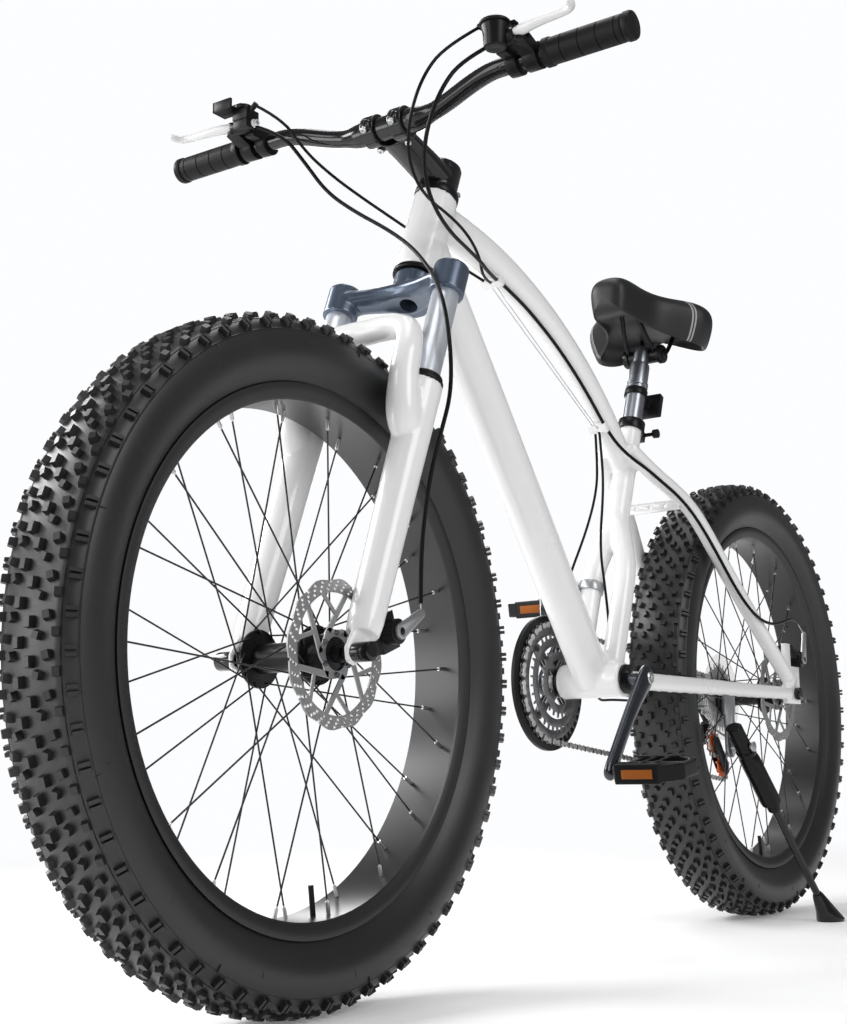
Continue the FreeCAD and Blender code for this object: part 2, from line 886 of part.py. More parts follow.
def fork_crown():
    boss = rod(on_fork(crown_top - crown_boss_height), on_fork(crown_top), crown_boss_radius)
    clamp_low = crown_clamp_top - crown_clamp_height
    shapes = [boss]
    for sign in (1, -1):
        low = on_fork(clamp_low, stanchion_offset, sign * leg_side)
        high = on_fork(crown_clamp_top, stanchion_offset, sign * leg_side)
        shapes.append(rod(low, high, stanchion_radius + crown_clamp_wall))
        middle = on_fork(crown_top - crown_arm_height / 2)
        outer = on_fork(crown_clamp_top - crown_arm_height / 2, stanchion_offset, sign * leg_side)
        shapes.append(tapered_arm(middle, outer, crown_arm_width, crown_arm_height))
    body = fused(shapes)
    pocket_width = crown_arm_width - 2 * crown_pocket_wall
    for sign in (1, -1):
        inset = crown_arm_height - crown_pocket_depth
        middle = on_fork(crown_top - crown_arm_height / 2 - inset)
        outer = on_fork(crown_clamp_top - crown_arm_height / 2 - inset, stanchion_offset, sign * leg_side)
        start = middle + unit(outer - middle) * crown_boss_radius
        end = outer - unit(outer - middle) * (stanchion_radius + crown_clamp_wall)
        body = body.cut(tapered_arm(start, end, pocket_width, crown_arm_height))
    for sign in (1, -1):
        low = on_fork(clamp_low - overrun, stanchion_offset, sign * leg_side)
        high = on_fork(crown_clamp_top - crown_clamp_wall, stanchion_offset, sign * leg_side)
        body = body.cut(rod(low, high, stanchion_radius))
    low, high = on_fork(clamp_low - overrun), on_fork(crown_top + overrun)
    body = body.cut(rod(low, high, steerer_radius))
    tube = sleeve(
        on_fork(crown_top - crown_boss_height), on_fork(stem_top),
        steerer_radius, steerer_radius - steerer_wall,
    )
    return [body, tube]


def tapered_arm(start, end, width, height):
    wires = []
    for centre in (start, end):
        points = []
        for forward, up in ((-1, -1), (1, -1), (1, 1), (-1, 1)):
            points.append(centre + fork_front * (forward * width / 2) + fork_up * (up * height / 2))
        wires.append(Part.makePolygon(points + [points[0]]))
    return Part.makeLoft(wires, True, True)


def stanchions():
    made = []
    for sign in (1, -1):
        low = on_fork(leg_floor + stanchion_stop, stanchion_offset, sign * leg_side)
        high = on_fork(crown_clamp_top - crown_clamp_wall, stanchion_offset, sign * leg_side)
        made.append(sleeve(low, high, stanchion_radius, stanchion_radius - stanchion_wall))
    return made


def fork_springs():
    made = []
    for sign in (1, -1):
        low = on_fork(leg_floor + clear_gap, stanchion_offset, sign * leg_side)
        high = on_fork(crown_clamp_top - crown_clamp_wall - clear_gap, stanchion_offset, sign * leg_side)
        made.append(sleeve(low, high, spring_radius, spring_radius - spring_wall))
    return made


def fork_lowers():
    made = []
    for sign in (1, -1):
        low = on_fork(leg_bottom_along, stanchion_offset, sign * leg_side)
        high = on_fork(leg_top_along, stanchion_offset, sign * leg_side)
        leg = cone(low, high, leg_bottom_radius, leg_top_radius)
        tab_side = sign * (front_hub_width / 2 + front_dropout_thickness / 2)
        tab_top = on_fork(leg_bottom_along + front_tab_overlap, stanchion_offset, tab_side)
        tab_start = tab_top - LEFT * (front_dropout_thickness / 2)
        tab_end = beside(front_axle_at, tab_side) - LEFT * (front_dropout_thickness / 2)
        thickness = LEFT * front_dropout_thickness
        tab = rounded_bar(tab_start, tab_end, front_dropout_round, front_dropout_round, thickness)
        leg = fused([leg, tab])
        leg = leg.cut(
            rod(
                on_fork(leg_floor, stanchion_offset, sign * leg_side),
                high + fork_up * overrun, stanchion_radius + running_gap,
            ),
        )
        axle_end = beside(front_axle_at, sign * front_hub_width)
        made.append(leg.cut(rod(front_axle_at, axle_end, axle_radius)))
    shoulder_side = leg_side - arch_shoulder_inset
    arch_along = tire_radius + arch_gap
    half = [on_fork(arch_root_along, arch_root_forward, leg_side)]
    half.append(on_fork(arch_along - arch_shoulder_drop, arch_forward, leg_side))
    half.append(on_fork(arch_along, arch_forward, shoulder_side - arch_bend))
    other = [V(point.x, -point.y, point.z) for point in reversed(half)]
    arch = bent_rod(half + other, arch_radius, arch_bend)
    ball = Part.makeSphere(arch_radius, half[0])
    arch = fused([arch, ball, mirrored(ball)])
    for sign in (1, -1):
        low = on_fork(leg_bottom_along, stanchion_offset, sign * leg_side)
        high = on_fork(leg_top_along, stanchion_offset, sign * leg_side)
        arch = arch.cut(cone(low, high, leg_bottom_radius, leg_top_radius))
        reach = on_fork(leg_top_along + leg_length, stanchion_offset, sign * leg_side)
        arch = arch.cut(rod(high, reach, seal_radius + clear_gap))
    return made + [largest(arch)]


def largest(shape):
    return max(shape.Solids, key=lambda solid: solid.Volume)


def fork_seals():
    made = []
    for sign in (1, -1):
        low = on_fork(leg_top_along, stanchion_offset, sign * leg_side)
        high = on_fork(leg_top_along + seal_height, stanchion_offset, sign * leg_side)
        made.append(sleeve(low, high, seal_radius, stanchion_radius + running_gap))
    return made


def bearing_cups():
    made = [
        sleeve(
            on_fork(head_low - cup_height), on_fork(head_low),
            head_radius + cup_lip, steerer_radius + running_gap,
        ),
    ]
    made.append(
        sleeve(
            on_fork(head_top), on_fork(head_top + upper_cup_height),
            head_radius, steerer_radius + running_gap,
        ),
    )
    for sign in (1, -1):
        inner = beside(bracket_at, sign * shell_length / 2)
        outer = beside(bracket_at, sign * (shell_length / 2 + bracket_cup_length))
        made.append(sleeve(inner, outer, bracket_cup_radius, spindle_radius + running_gap))
    return made


# Stem and handlebar

def stem():
    clamp = rod(on_fork(stem_base), on_fork(stem_top), stem_clamp_radius)
    middle = on_fork(stem_base + stem_clamp_height / 2)
    tip = bar_at - fork_up * (cradle_depth / 2)
    wires = []
    for centre, height in ((middle, stem_height), (tip, stem_tip_height)):
        points = []
        for side, up in ((-1, -1), (1, -1), (1, 1), (-1, 1)):
            points.append(centre + LEFT * (side * stem_width / 2) + fork_up * (up * height / 2))
        wires.append(Part.makePolygon(points + [points[0]]))
    reach = Part.makeLoft(wires, True, True)
    cradle = block(tip, fork_front, LEFT, fork_up, 2 * cradle_reach, cradle_width, cradle_depth)
    body = fused([clamp, reach, cradle])
    strap_space = 2 * (cradle_reach + clear_gap)
    above = bar_at + fork_up * cradle_depth
    body = body.cut(
        block(above, fork_front, LEFT, fork_up, strap_space, 2 * cradle_width, 2 * cradle_depth),
    )
    body = body.cut(rod(on_fork(stem_base - overrun), on_fork(stem_top + overrun), steerer_radius))
    body = body.cut(rod(beside(bar_at, -cradle_width), beside(bar_at, cradle_width), bar_middle_radius))
    cap = rod(on_fork(stem_top), on_fork(stem_top + top_cap_height), top_cap_radius)
    return [body, cap]


def stem_straps():
    made = []
    for sign in (1, -1):
        centre = beside(bar_at, sign * strap_spread)
        start = beside(centre, -strap_width / 2)
        end = beside(centre, strap_width / 2)
        arch = sleeve(start, end, bar_middle_radius + strap_wall, bar_middle_radius)
        ears = block(
            centre + fork_up * (strap_ear / 2), fork_front, LEFT,
            fork_up, 2 * cradle_reach, strap_width, strap_ear,
        )
        ears = ears.cut(rod(start - LEFT * overrun, end + LEFT * overrun, bar_middle_radius))
        top = fused([arch, ears])
        lower = block(
            centre - fork_up * cradle_depth, fork_front, LEFT, fork_up,
            4 * cradle_reach, 2 * strap_width, 2 * cradle_depth + 2 * strap_gap,
        )
        made.append(largest(top.cut(lower)))
        for front in (1, -1):
            reach = cradle_reach - strap_bolt_head
            foot = centre + fork_front * (front * reach) + fork_up * strap_ear
            made.append(rod(foot, foot + fork_up * strap_bolt_head, strap_bolt_head))
    return made


def handlebar():
    half = [
        bar_at, beside(bar_at, bar_bend_start), beside(grip_line, bar_bend_end), beside(
            grip_line, bar_half_width,
        ),
    ]
    left = [V(point.x, -point.y, point.z) for point in reversed(half[1:])]
    tube = bent_rod(left + half[1:], bar_radius, bar_bend_radius)
    middle = rod(
        beside(bar_at, -bar_middle_length / 2), beside(bar_at, bar_middle_length / 2), bar_middle_radius,
    )
    tapers = []
    for sign in (1, -1):
        start = beside(bar_at, sign * bar_middle_length / 2)
        end = beside(bar_at, sign * (bar_middle_length / 2 + bar_taper_length))
        tapers.append(cone(start, end, bar_middle_radius, bar_radius))
    return fused([tube, middle] + tapers)


def grips():
    made = []
    for sign in (1, -1):
        inner = beside(grip_line, sign * (bar_half_width + grip_end - grip_length))
        outer = beside(grip_line, sign * (bar_half_width + grip_end))
        body = rod(inner, outer, grip_radius)
        collars = []
        for start, way in ((inner, sign), (outer, -sign)):
            collars.append(rod(start, beside(start, way * grip_collar_length), grip_collar_radius))
        body = fused([body] + collars)
        made.append(body.cut(rod(grip_line, beside(grip_line, sign * bar_half_width), bar_radius)))
    return made


def lever_pivot(sign):
    return beside(grip_line, sign * lever_clamp_side) + FORWARD * lever_pivot_forward + UP * lever_block_rise


def shifter_at(sign):
    return beside(grip_line, sign * shifter_side) + FORWARD * shifter_forward + UP * shifter_rise


def control_mounts():
    made = []
    for sign in (1, -1):
        made.append(lever_mount(sign))
        made.append(shifter_mount(sign))
    return made


def lever_mount(sign):
    centre = beside(grip_line, sign * lever_clamp_side)
    start = beside(centre, -lever_clamp_width / 2)
    end = beside(centre, lever_clamp_width / 2)
    ring = rod(start, end, bar_radius + control_wall)
    pivot = lever_pivot(sign)
    jaw = rod(
        pivot - UP * (lever_block_height / 2), pivot + UP * (lever_block_height / 2), lever_root_radius,
    )
    arm_middle = centre + FORWARD * (lever_pivot_forward / 2) + UP * (lever_block_rise / 2)
    arm_way = unit(pivot - centre)
    arm_up = unit(arm_way.cross(LEFT)) * -1
    arm = block(
        arm_middle, arm_way, LEFT, arm_up, (pivot - centre).Length, lever_clamp_width, lever_block_height,
    )
    barrel_end = pivot - LEFT * (sign * (lever_root_radius + barrel_length))
    barrel = rod(pivot, barrel_end, barrel_radius)
    body = fused([ring, arm, jaw, barrel])
    body = body.cut(rod(start - LEFT * overrun, end + LEFT * overrun, bar_radius))
    slot_height = lever_thickness + 2 * clear_gap
    slot_centre = pivot + LEFT * (sign * lever_jaw_length / 2) + FORWARD * (lever_root_radius / 2)
    reach = 2 * lever_root_radius + lever_jaw_length
    body = body.cut(block(slot_centre, LEFT, FORWARD, UP, reach, 4 * lever_root_radius, slot_height))
    pin = rod(
        pivot - UP * (lever_block_height / 2), pivot + UP * (lever_block_height / 2), lever_pivot_radius,
    )
    return largest(fused([body, pin]))


def brake_lever(sign):
    pivot = lever_pivot(sign)
    low = UP * (-lever_thickness / 2)
    thickness = UP * lever_thickness
    elbow = pivot + FORWARD * lever_elbow_forward + LEFT * (sign * lever_elbow_out)
    tip = pivot + FORWARD * lever_tip_forward + LEFT * (sign * lever_tip_out)
    root = rounded_bar(pivot + low, elbow + low, lever_root_radius, lever_blade_width / 2, thickness)
    blade = rounded_bar(elbow + low, tip + low, lever_blade_width / 2, lever_blade_width / 2, thickness)
    ball = rod(tip + low, tip + low + UP * (2 * lever_tip_radius), lever_tip_radius)
    shape = fused([root, blade, ball])
    reach = UP * lever_block_height
    return shape.cut(rod(pivot - reach, pivot + reach, lever_pivot_radius + running_gap))


def shifter_mount(sign):
    centre = beside(grip_line, sign * shifter_side)
    start = beside(centre, -shifter_clamp_width / 2)
    end = beside(centre, shifter_clamp_width / 2)
    ring = rod(start, end, bar_radius + control_wall)
    drum_at = shifter_at(sign)
    arm_way = unit(drum_at - centre)
    arm_up = unit(LEFT.cross(arm_way))
    arm_length = (drum_at - centre).Length
    arm = block(
        centre + arm_way * (arm_length / 2), arm_way, LEFT, arm_up,
        arm_length, shifter_clamp_width, shifter_clamp_width,
    )
    drum = rod(drum_at - UP * (drum_height / 2), drum_at + UP * (drum_height / 2), drum_radius)
    body = fused([ring, arm, drum])
    body = body.cut(rod(start - LEFT * overrun, end + LEFT * overrun, bar_radius))
    post_top_at = drum_at + UP * (drum_height / 2 + shift_lever_thickness + shift_cap_height / 2)
    return fused([body, rod(drum_at, post_top_at, lever_pivot_radius)])


def shift_lever(sign):
    drum_at = shifter_at(sign)
    low = drum_at + UP * (drum_height / 2 + clear_gap)
    disc = rod(low, low + UP * shift_lever_thickness, drum_radius - control_wall)
    tip = low + FORWARD * (-drum_radius) + LEFT * (sign * shift_lever_length)
    arm = rounded_bar(low, tip, shift_lever_width / 2, shift_lever_width / 2, UP * shift_lever_thickness)
    pad = rod(tip, tip + UP * shift_pad_height, shift_lever_width / 2)
    cap_low = low + UP * shift_lever_thickness
    cap = rod(cap_low, cap_low + UP * shift_cap_height, drum_radius - control_wall)
    shape = fused([disc, arm, pad, cap])
    post = rod(drum_at, cap_low + UP * (shift_cap_height / 2), lever_pivot_radius + running_gap)
    return shape.cut(post)


# Frame

def head_rod():
    return rod(on_fork(head_low), on_fork(head_top), head_radius)


def above_head():
    return rod(on_fork(head_top), on_fork(stem_top + stem_clamp_height), head_radius + clear_gap)


def below_head():
    return rod(on_fork(crown_top), on_fork(head_low), head_radius + cup_lip + clear_gap)


def seat_rod():
    return rod(on_seat(seat_leg_split), on_seat(seat_tube_length), seat_tube_radius)


def shell_rod():
    return rod(beside(bracket_at, -shell_length), beside(bracket_at, shell_length), shell_radius)


def top_tube_curve():
    start = on_fork(head_low + top_tube_joint)
    end = on_seat(seat_tube_length - top_tube_seat_drop)
    across = unit(LEFT.cross(start - end))
    middle = (start + end) / 2 - across * top_tube_bow
    if middle.z < ((start + end) / 2).z:
        middle = (start + end) / 2 + across * top_tube_bow
    return Part.Arc(start, middle, end)


def top_tube():
    curve = top_tube_curve()
    first, last = curve.FirstParameter, curve.LastParameter
    wires = []
    inner_wires = []
    for index in range(top_tube_sections):
        share = index / (top_tube_sections - 1)
        value = first + (last - first) * share
        centre = curve.value(value)
        way = V(*curve.tangent(value)[0])
        up = unit(way.cross(LEFT))
        height = top_tube_front_height + (top_tube_rear_height - top_tube_front_height) * share
        width = top_tube_front_width + (top_tube_rear_width - top_tube_front_width) * share
        wires.append(oval(centre, LEFT, up, width, height))
        inner_wires.append(oval(centre, LEFT, up, width - 2 * tube_wall, height - 2 * tube_wall))
    tube = Part.makeLoft(wires, True, False)
    inner = Part.makeLoft(inner_wires, True, False)
    return largest(tube.cut(inner).cut(head_rod()).cut(above_head()).cut(seat_rod()))


def down_tube():
    start = on_fork(head_low + down_tube_joint)
    way = unit(bracket_at - start)
    up = unit(way.cross(LEFT))
    shapes = []
    for inset in (0, 2 * tube_wall):
        width = down_tube_width - inset
        height = down_tube_height - inset
        wires = [oval(point, LEFT, up, width, height) for point in (start, bracket_at)]
        shapes.append(Part.makeLoft(wires, True, True))
    return shapes


def seat_leg():
    # One of the two legs that carry the seat tube past the tire to the shell.
    points = [on_seat(seat_leg_split + seat_leg_start)]
    points.append(on_seat(seat_leg_split - seat_leg_blend, 0, seat_leg_spread))
    points.append(on_seat(0, 0, seat_leg_spread))
    leg = bent_rod(points, seat_leg_radius, seat_leg_bend)
    leg = leg.cut(bent_rod(points, seat_leg_radius - tube_wall, seat_leg_bend))
    far_half = block(
        on_seat(seat_leg_split / 2, 0, -wheelbase / 2), FORWARD, LEFT, UP, wheelbase, wheelbase, wheelbase,
    )
    return leg.cut(far_half)


def cable_clip(share, tube):
    # A small saddle under the top tube that grips the cables.
    curve = top_tube_curve()
    value = curve.FirstParameter + (curve.LastParameter - curve.FirstParameter) * share
    way = unit(V(*curve.tangent(value)[0]))
    up = unit(LEFT.cross(way))
    if up.z < 0:
        up = up * -1
    height = top_tube_front_height + (top_tube_rear_height - top_tube_front_height) * share
    middle = curve.value(value) - up * (height / 2 + clip_height / 2 - clip_seat)
    clip = block(middle, way, LEFT, up, clip_length, clip_width, clip_height).cut(tube)
    for shape in bar_cords + frame_cords:
        clip = clip.cut(shape)
    return largest(clip)


def cord(route, radius):
    path, radii = rounded_path(route)
    made = bent_rod(route, radius)
    section = math.pi * radius * radius
    share = made.Volume / (section * path.Length)
    print(
        "cord", round(path.Length), "tightest bend", round(min(radii), 1), "volume share", round(share, 3),
    )
    return made


def handlebar_cables():
    made = [cord(left_brake_route, brake_cable_radius)]
    made.append(cord(left_shift_route, shift_cable_radius))
    made.append(cord(right_shift_route, shift_cable_radius))
    return made


def frame_cables():
    made = [cord(rear_brake_route, brake_cable_radius)]
    made.append(cord(front_mech_route, shift_cable_radius))
    made.append(cord(rear_mech_route, shift_cable_radius))
    for start, end in bare_wire_ends:
        made.append(rod(start, end, inner_wire_radius))
    return made


def main_frame():
    head_tube = sleeve(on_fork(head_low), on_fork(head_top), head_radius, steerer_radius + head_bore_gap)
    top = top_tube()
    down, down_bore = down_tube()
    seat_tube = sleeve(
        on_seat(seat_leg_split), on_seat(seat_tube_length), seat_tube_radius, post_radius + running_gap,
    )
    half = shell_length / 2
    shell = sleeve(
        beside(bracket_at, -half), beside(bracket_at, half), shell_radius, spindle_radius + shell_bore_gap,
    )
    leg = largest(seat_leg().cut(seat_rod()).cut(shell_rod()).cut(down))
    down = down.cut(down_bore).cut(head_rod()).cut(below_head())
    down = largest(down.cut(top).cut(shell_rod()))
    clips = [cable_clip(share, top) for share in (clip_front_share, clip_rear_share)]
    return [head_tube, top, down, seat_tube, leg, mirrored(leg), shell] + clips


def chain_stay():
    start_side = shell_length / 2 - chain_stay_inset
    start = beside(bracket_at, start_side)
    end = beside(rear_axle_at, dropout_side + dropout_thickness / 2) + FORWARD * chain_stay_end
    shapes = []
    for inset in (0, 2 * tube_wall):
        width = chain_stay_width - inset
        wires = [oval(start, LEFT, UP, width, chain_stay_front_height - inset)]
        wires.append(oval(end, LEFT, UP, width, chain_stay_rear_height - inset))
        shapes.append(Part.makeLoft(wires, True, True))
    return shapes[0].cut(shapes[1])


def seat_stay_points():
    joint = on_seat(seat_tube_length - seat_stay_joint, -seat_stay_joint_forward, seat_stay_joint_side)
    end = beside(rear_axle_at, dropout_side + dropout_thickness / 2)
    end = end + FORWARD * seat_stay_end_forward + UP * seat_stay_end_rise
    span = end - joint
    points = []
    for run, drop, spread in zip(seat_stay_run_shares, seat_stay_drop_shares, seat_stay_spread_shares):
        points.append(joint + V(span.x * run, span.y * spread, span.z * drop))
    return points


def seat_stay():
    points = seat_stay_points()
    stay = bent_rod(points, seat_stay_radius, seat_stay_bend)
    stay = stay.cut(bent_rod(points, seat_stay_radius - tube_wall, seat_stay_bend))
    return stay.cut(seat_rod())


def dropout(tall):
    inner = beside(rear_axle_at, dropout_side)
    outline = [(dropout_front, -dropout_bottom), (dropout_front, dropout_top)]
    if tall:
        outline += [(dropout_tab_front, dropout_tab_height), (dropout_tab_back, dropout_tab_height)]
    outline += [(dropout_tab_back, dropout_top), (-dropout_back, dropout_top)]
    outline += [(-dropout_back, -dropout_bottom)]
    points = [inner + V(forward, 0, up) for forward, up in outline]
    plate = polygon(points).extrude(LEFT * dropout_thickness)
    far = beside(rear_axle_at, dropout_side + dropout_thickness + overrun)
    plate = plate.cut(rod(rear_axle_at, far, axle_radius))
    eyelet = V(-eyelet_back, 0, eyelet_rise)
    return plate.cut(rod(rear_axle_at + eyelet, far + eyelet, eyelet_radius))


def stay_bridge(stay):
    path, radii = rounded_path(seat_stay_points(), seat_stay_bend)
    at = path.discretize(Number=path_steps)[int(path_steps * bridge_share)]
    middle = V(at.x, 0, at.z - bridge_drop)
    bar = block(middle, FORWARD, LEFT, UP, bridge_thickness, 2 * at.y, bridge_height)
    for index in (-1, 0, 1):
        hole = beside(middle, index * bridge_hole_pitch)
        bar = bar.cut(rod(hole - FORWARD * overrun, hole + FORWARD * overrun, bridge_hole_radius))
    return largest(bar.cut(stay).cut(mirrored(stay)))


def rear_triangle():
    plate = dropout(True)
    stay = seat_stay()
    lower = chain_stay().cut(shell_rod())
    lower = largest(lower.cut(plate))
    upper = largest(stay.cut(plate).cut(top_tube()).cut(lower))
    right_plate = mirrored(dropout(False))
    right_lower = largest(mirrored(chain_stay()).cut(shell_rod()).cut(right_plate))
    right_upper = largest(mirrored(stay).cut(right_plate).cut(top_tube()).cut(right_lower))
    return [lower, right_lower, upper, right_upper, plate, right_plate, stay_bridge(stay)]


# Seat

def seat_post():
    body = rod(on_seat(post_bottom), on_seat(post_top - post_neck_height), post_radius)
    neck = rod(on_seat(post_top - post_neck_height), on_seat(post_top), post_neck_radius)
    ring_low = on_seat(post_top - post_ring_drop)
    ring = rod(ring_low, on_seat(post_top - post_ring_drop + post_ring_height), post_ring_radius)
    shape = fused([body, neck, ring])
    bore_end = on_seat(post_top - post_ring_drop)
    return shape.cut(rod(on_seat(post_bottom - overrun), bore_end, post_radius - post_wall))


def seat_clamp():
    high = seat_tube_length - seat_clamp_drop
    low = high - seat_clamp_height
    ring = rod(on_seat(low), on_seat(high), seat_tube_radius + seat_clamp_wall)
    ear_back = seat_tube_radius + seat_clamp_wall + clamp_ear_depth / 2
    ear = block(
        on_seat((low + high) / 2, ear_back), seat_back, LEFT, seat_up,
        clamp_ear_depth + seat_clamp_wall, clamp_ear_width, seat_clamp_height,
    )
    body = fused([ring, ear]).cut(seat_rod())
    bolt_at = on_seat((low + high) / 2, ear_back)
    bolt = rod(beside(bolt_at, -clamp_bolt_half), beside(bolt_at, clamp_bolt_half), clamp_bolt_radius)
    knob = rod(
        beside(bolt_at, clamp_bolt_half),
        beside(bolt_at, clamp_bolt_half + clamp_knob_length), clamp_knob_radius,
    )
    return [fused([body, bolt, knob])]


def clamp_lever_at():
    ear_back = seat_tube_radius + seat_clamp_wall + clamp_ear_depth / 2
    middle = seat_tube_length - seat_clamp_drop - seat_clamp_height / 2
    return on_seat(middle, ear_back, -clamp_bolt_half - clear_gap)


def seat_clamp_lever():
    pivot = clamp_lever_at() - LEFT * clamp_lever_radius
    low = pivot - seat_up * (clamp_lever_thickness / 2)
    tip = low - seat_back * clamp_lever_length
    return rounded_bar(
        low, tip, clamp_lever_radius, clamp_lever_radius / 2, seat_up * clamp_lever_thickness,
    )


def rear_reflector():
    along = post_top - post_ring_drop - reflector_drop
    low = on_seat(along - reflector_band_height / 2)
    high = on_seat(along + reflector_band_height / 2)
    band = rod(low, high, post_radius + reflector_band_wall)
    face = post_radius + reflector_band_wall + reflector_arm
    arm = block(
        on_seat(along, face / 2), seat_back, LEFT, seat_up,
        face, reflector_arm_width, reflector_band_height,
    )
    shield = block(
        on_seat(along, face + reflector_thickness / 2), seat_back, LEFT,
        seat_up, reflector_thickness, reflector_width, reflector_height,
    )
    return fused([band, arm, shield]).cut(
        rod(low - seat_up * overrun, high + seat_up * overrun, post_radius),
    )


def saddle_sections():
    # Stations from the nose to the tail: place, half width, top and bottom.
    seat_at = on_seat(post_top)
    nose = seat_at.x + saddle_nose_ahead
    length = saddle_nose_ahead + saddle_back
    top = seat_at.z + saddle_top_rise
    stations = []
    rows = zip(saddle_station_shares, saddle_width_shares, saddle_top_shares, saddle_skirt_shares)
    for station, width, lift, skirt in rows:
        half = width * saddle_nose_width / 2
        if station > saddle_side_share:
            half = half * saddle_rear_width / (saddle_nose_width * max(saddle_width_shares))
        crest = top + lift * saddle_crown + saddle_nose_lift * (1 - station)
        stations.append((nose - station * length, half, crest, crest - skirt * saddle_skirt))
    return stations


def saddle_wire(x, half, crest, bottom, inset=0.0):
    # A crowned outline whose sides draw in towards the skirt.
    half = half - inset
    crest = crest - inset
    corner_z = crest - saddle_crown
    skirt_half = half * saddle_draw_share

    def at(side, z):
        return V(x, side, z)

    top = Part.Arc(
        at(half * saddle_corner_share, corner_z + saddle_crown * saddle_side_share), at(0, crest), at(
            -half * saddle_corner_share, corner_z + saddle_crown * saddle_side_share,
        ),
    )
    edges = [top.toShape()]
    for sign in (1, -1):
        start = at(sign * half * saddle_corner_share, corner_z + saddle_crown * saddle_side_share)
        middle = at(sign * half, corner_z - saddle_crown * saddle_side_share)
        end = at(sign * skirt_half, bottom)
        edges.append(Part.Arc(start, middle, end).toShape())
    edges.append(Part.LineSegment(at(skirt_half, bottom), at(-skirt_half, bottom)).toShape())
    return Part.Wire(Part.sortEdges(edges)[0])


def saddle_cover():
    wires = [saddle_wire(*station) for station in saddle_sections()]
    cover = Part.makeLoft(wires, True, False)
    depth = 2 * saddle_skirt
    pocket = saddle_plan(saddle_wall - saddle_base_gap, saddle_ceiling(), depth)
    return largest(cover.cut(pocket))


def saddle_ceiling():
    return on_seat(post_top).z + saddle_pocket_rise


def saddle_plan(inset, top, depth):
    # The saddle's outline from above, drawn in and carried down by depth.
    points = []
    stations = saddle_sections()[1:-1]
    for sign in (1, -1):
        row = [V(x, sign * (half * saddle_draw_share - inset), top) for x, half, crest, bottom in stations]
        points += row if sign > 0 else list(reversed(row))
    return polygon(points).extrude(UP * -depth)


def rail_points():
    seat_at = on_seat(post_top)
    low = seat_at.z + clamp_block_height / 2
    floor = saddle_floor() - rail_radius - clear_gap
    points = [V(seat_at.x + rail_rise_front, rail_front_spread, floor)]
    for forward, z in ((rail_half_length, low), (-rail_half_length, low), (-rail_rise_back, floor)):
        points.append(V(seat_at.x + forward, rail_spread, z))
    return points


def saddle_floor():
    return saddle_ceiling() - saddle_base_gap - saddle_base_thickness


def saddle_frame():
    base = saddle_plan(saddle_wall, saddle_ceiling() - saddle_base_gap, saddle_base_thickness)
    rail = bent_rod(rail_points(), rail_radius, rail_half_length)
    seat_at = on_seat(post_top)
    clamp = block(
        seat_at + UP * (clamp_block_height / 2), FORWARD, LEFT, UP,
        clamp_block_length, clamp_block_width, clamp_block_height,
    )
    clamp = clamp.cut(rail).cut(mirrored(rail))
    clamp = clamp.cut(rod(on_seat(post_bottom), on_seat(post_top), post_neck_radius))
    return [base, rail, mirrored(rail), largest(clamp)]


# Drive

def crank_arm(sign):
    outer = sign * crank_arm_side
    way = crank_way * sign
    root = beside(bracket_at, outer - sign * crank_arm_thickness)
    eye = root + way * crank_length
    arm = rounded_bar(root, eye, crank_root_radius, crank_eye_radius, LEFT * (sign * crank_arm_thickness))
    return arm.cut(rod(bracket_at, beside(bracket_at, outer), spindle_radius))


def pedal_at(sign):
    return beside(bracket_at + crank_way * (sign * crank_length), sign * crank_arm_side)


def crankset():
    half = crank_arm_side
    spindle = rod(beside(bracket_at, -half), beside(bracket_at, half), spindle_radius)
    arms = []
    for sign in (1, -1):
        start = pedal_at(sign) - LEFT * (sign * crank_arm_thickness)
        end = pedal_at(sign) + LEFT * (sign * (pedal_gap + pedal_width))
        stub = rod(start, end, pedal_axle_radius)
        arms.append(fused([crank_arm(sign), stub]))
    return [spindle] + arms


def chainrings():
    made = []
    for index, teeth in enumerate(ring_teeth):
        centre = beside(bracket_at, chain_plane + index * ring_spacing)
        pitch_radius = chain_pitch / (2 * math.sin(math.pi / teeth))
        bore = max(pitch_radius - ring_band, spider_radius)
        made.append(toothed_disc(centre, teeth, ring_thickness, bore))
    inner = chain_plane + (len(ring_teeth) - 1) * ring_spacing + ring_thickness / 2
    outer = -(crank_arm_side - crank_arm_thickness)
    hub_rod = rod(beside(bracket_at, inner), beside(bracket_at, outer), spider_radius)
    arms = []
    for index in range(spider_arms):
        for ring in range(len(ring_teeth)):
            side = chain_plane + ring * ring_spacing
            teeth = ring_teeth[ring]
            reach = chain_pitch / (2 * math.sin(math.pi / teeth)) - ring_band / 2
            centre = beside(bracket_at, side) + FORWARD * (reach / 2)
            arm = block(centre, FORWARD, LEFT, UP, reach, ring_thickness, spider_arm_width)
            arms.append(turned(arm, bracket_at, LEFT, 45 + index * 360.0 / spider_arms))
    body = fused(made + [hub_rod] + arms)
    return body.cut(rod(beside(bracket_at, -crank_arm_side), bracket_at, spindle_radius))


def chain_guard():
    side = guard_thickness - crank_arm_side + crank_arm_thickness
    start = beside(bracket_at, side)
    end = beside(bracket_at, side - guard_thickness)
    band = sleeve(start, end, guard_radius, guard_radius - guard_band)
    spokes_made = []
    for index in range(spider_arms):
        reach = guard_radius - guard_band / 2 - spider_radius
        centre = beside(bracket_at, side - guard_thickness / 2) + FORWARD * (spider_radius + reach / 2)
        arm = block(centre, FORWARD, LEFT, UP, reach, guard_thickness, spider_arm_width)
        spokes_made.append(turned(arm, bracket_at, LEFT, 45 + index * 360.0 / spider_arms))
    ring = sleeve(start, end, spider_radius + spider_arm_width / 2, spider_radius)
    return fused([band, ring] + spokes_made)


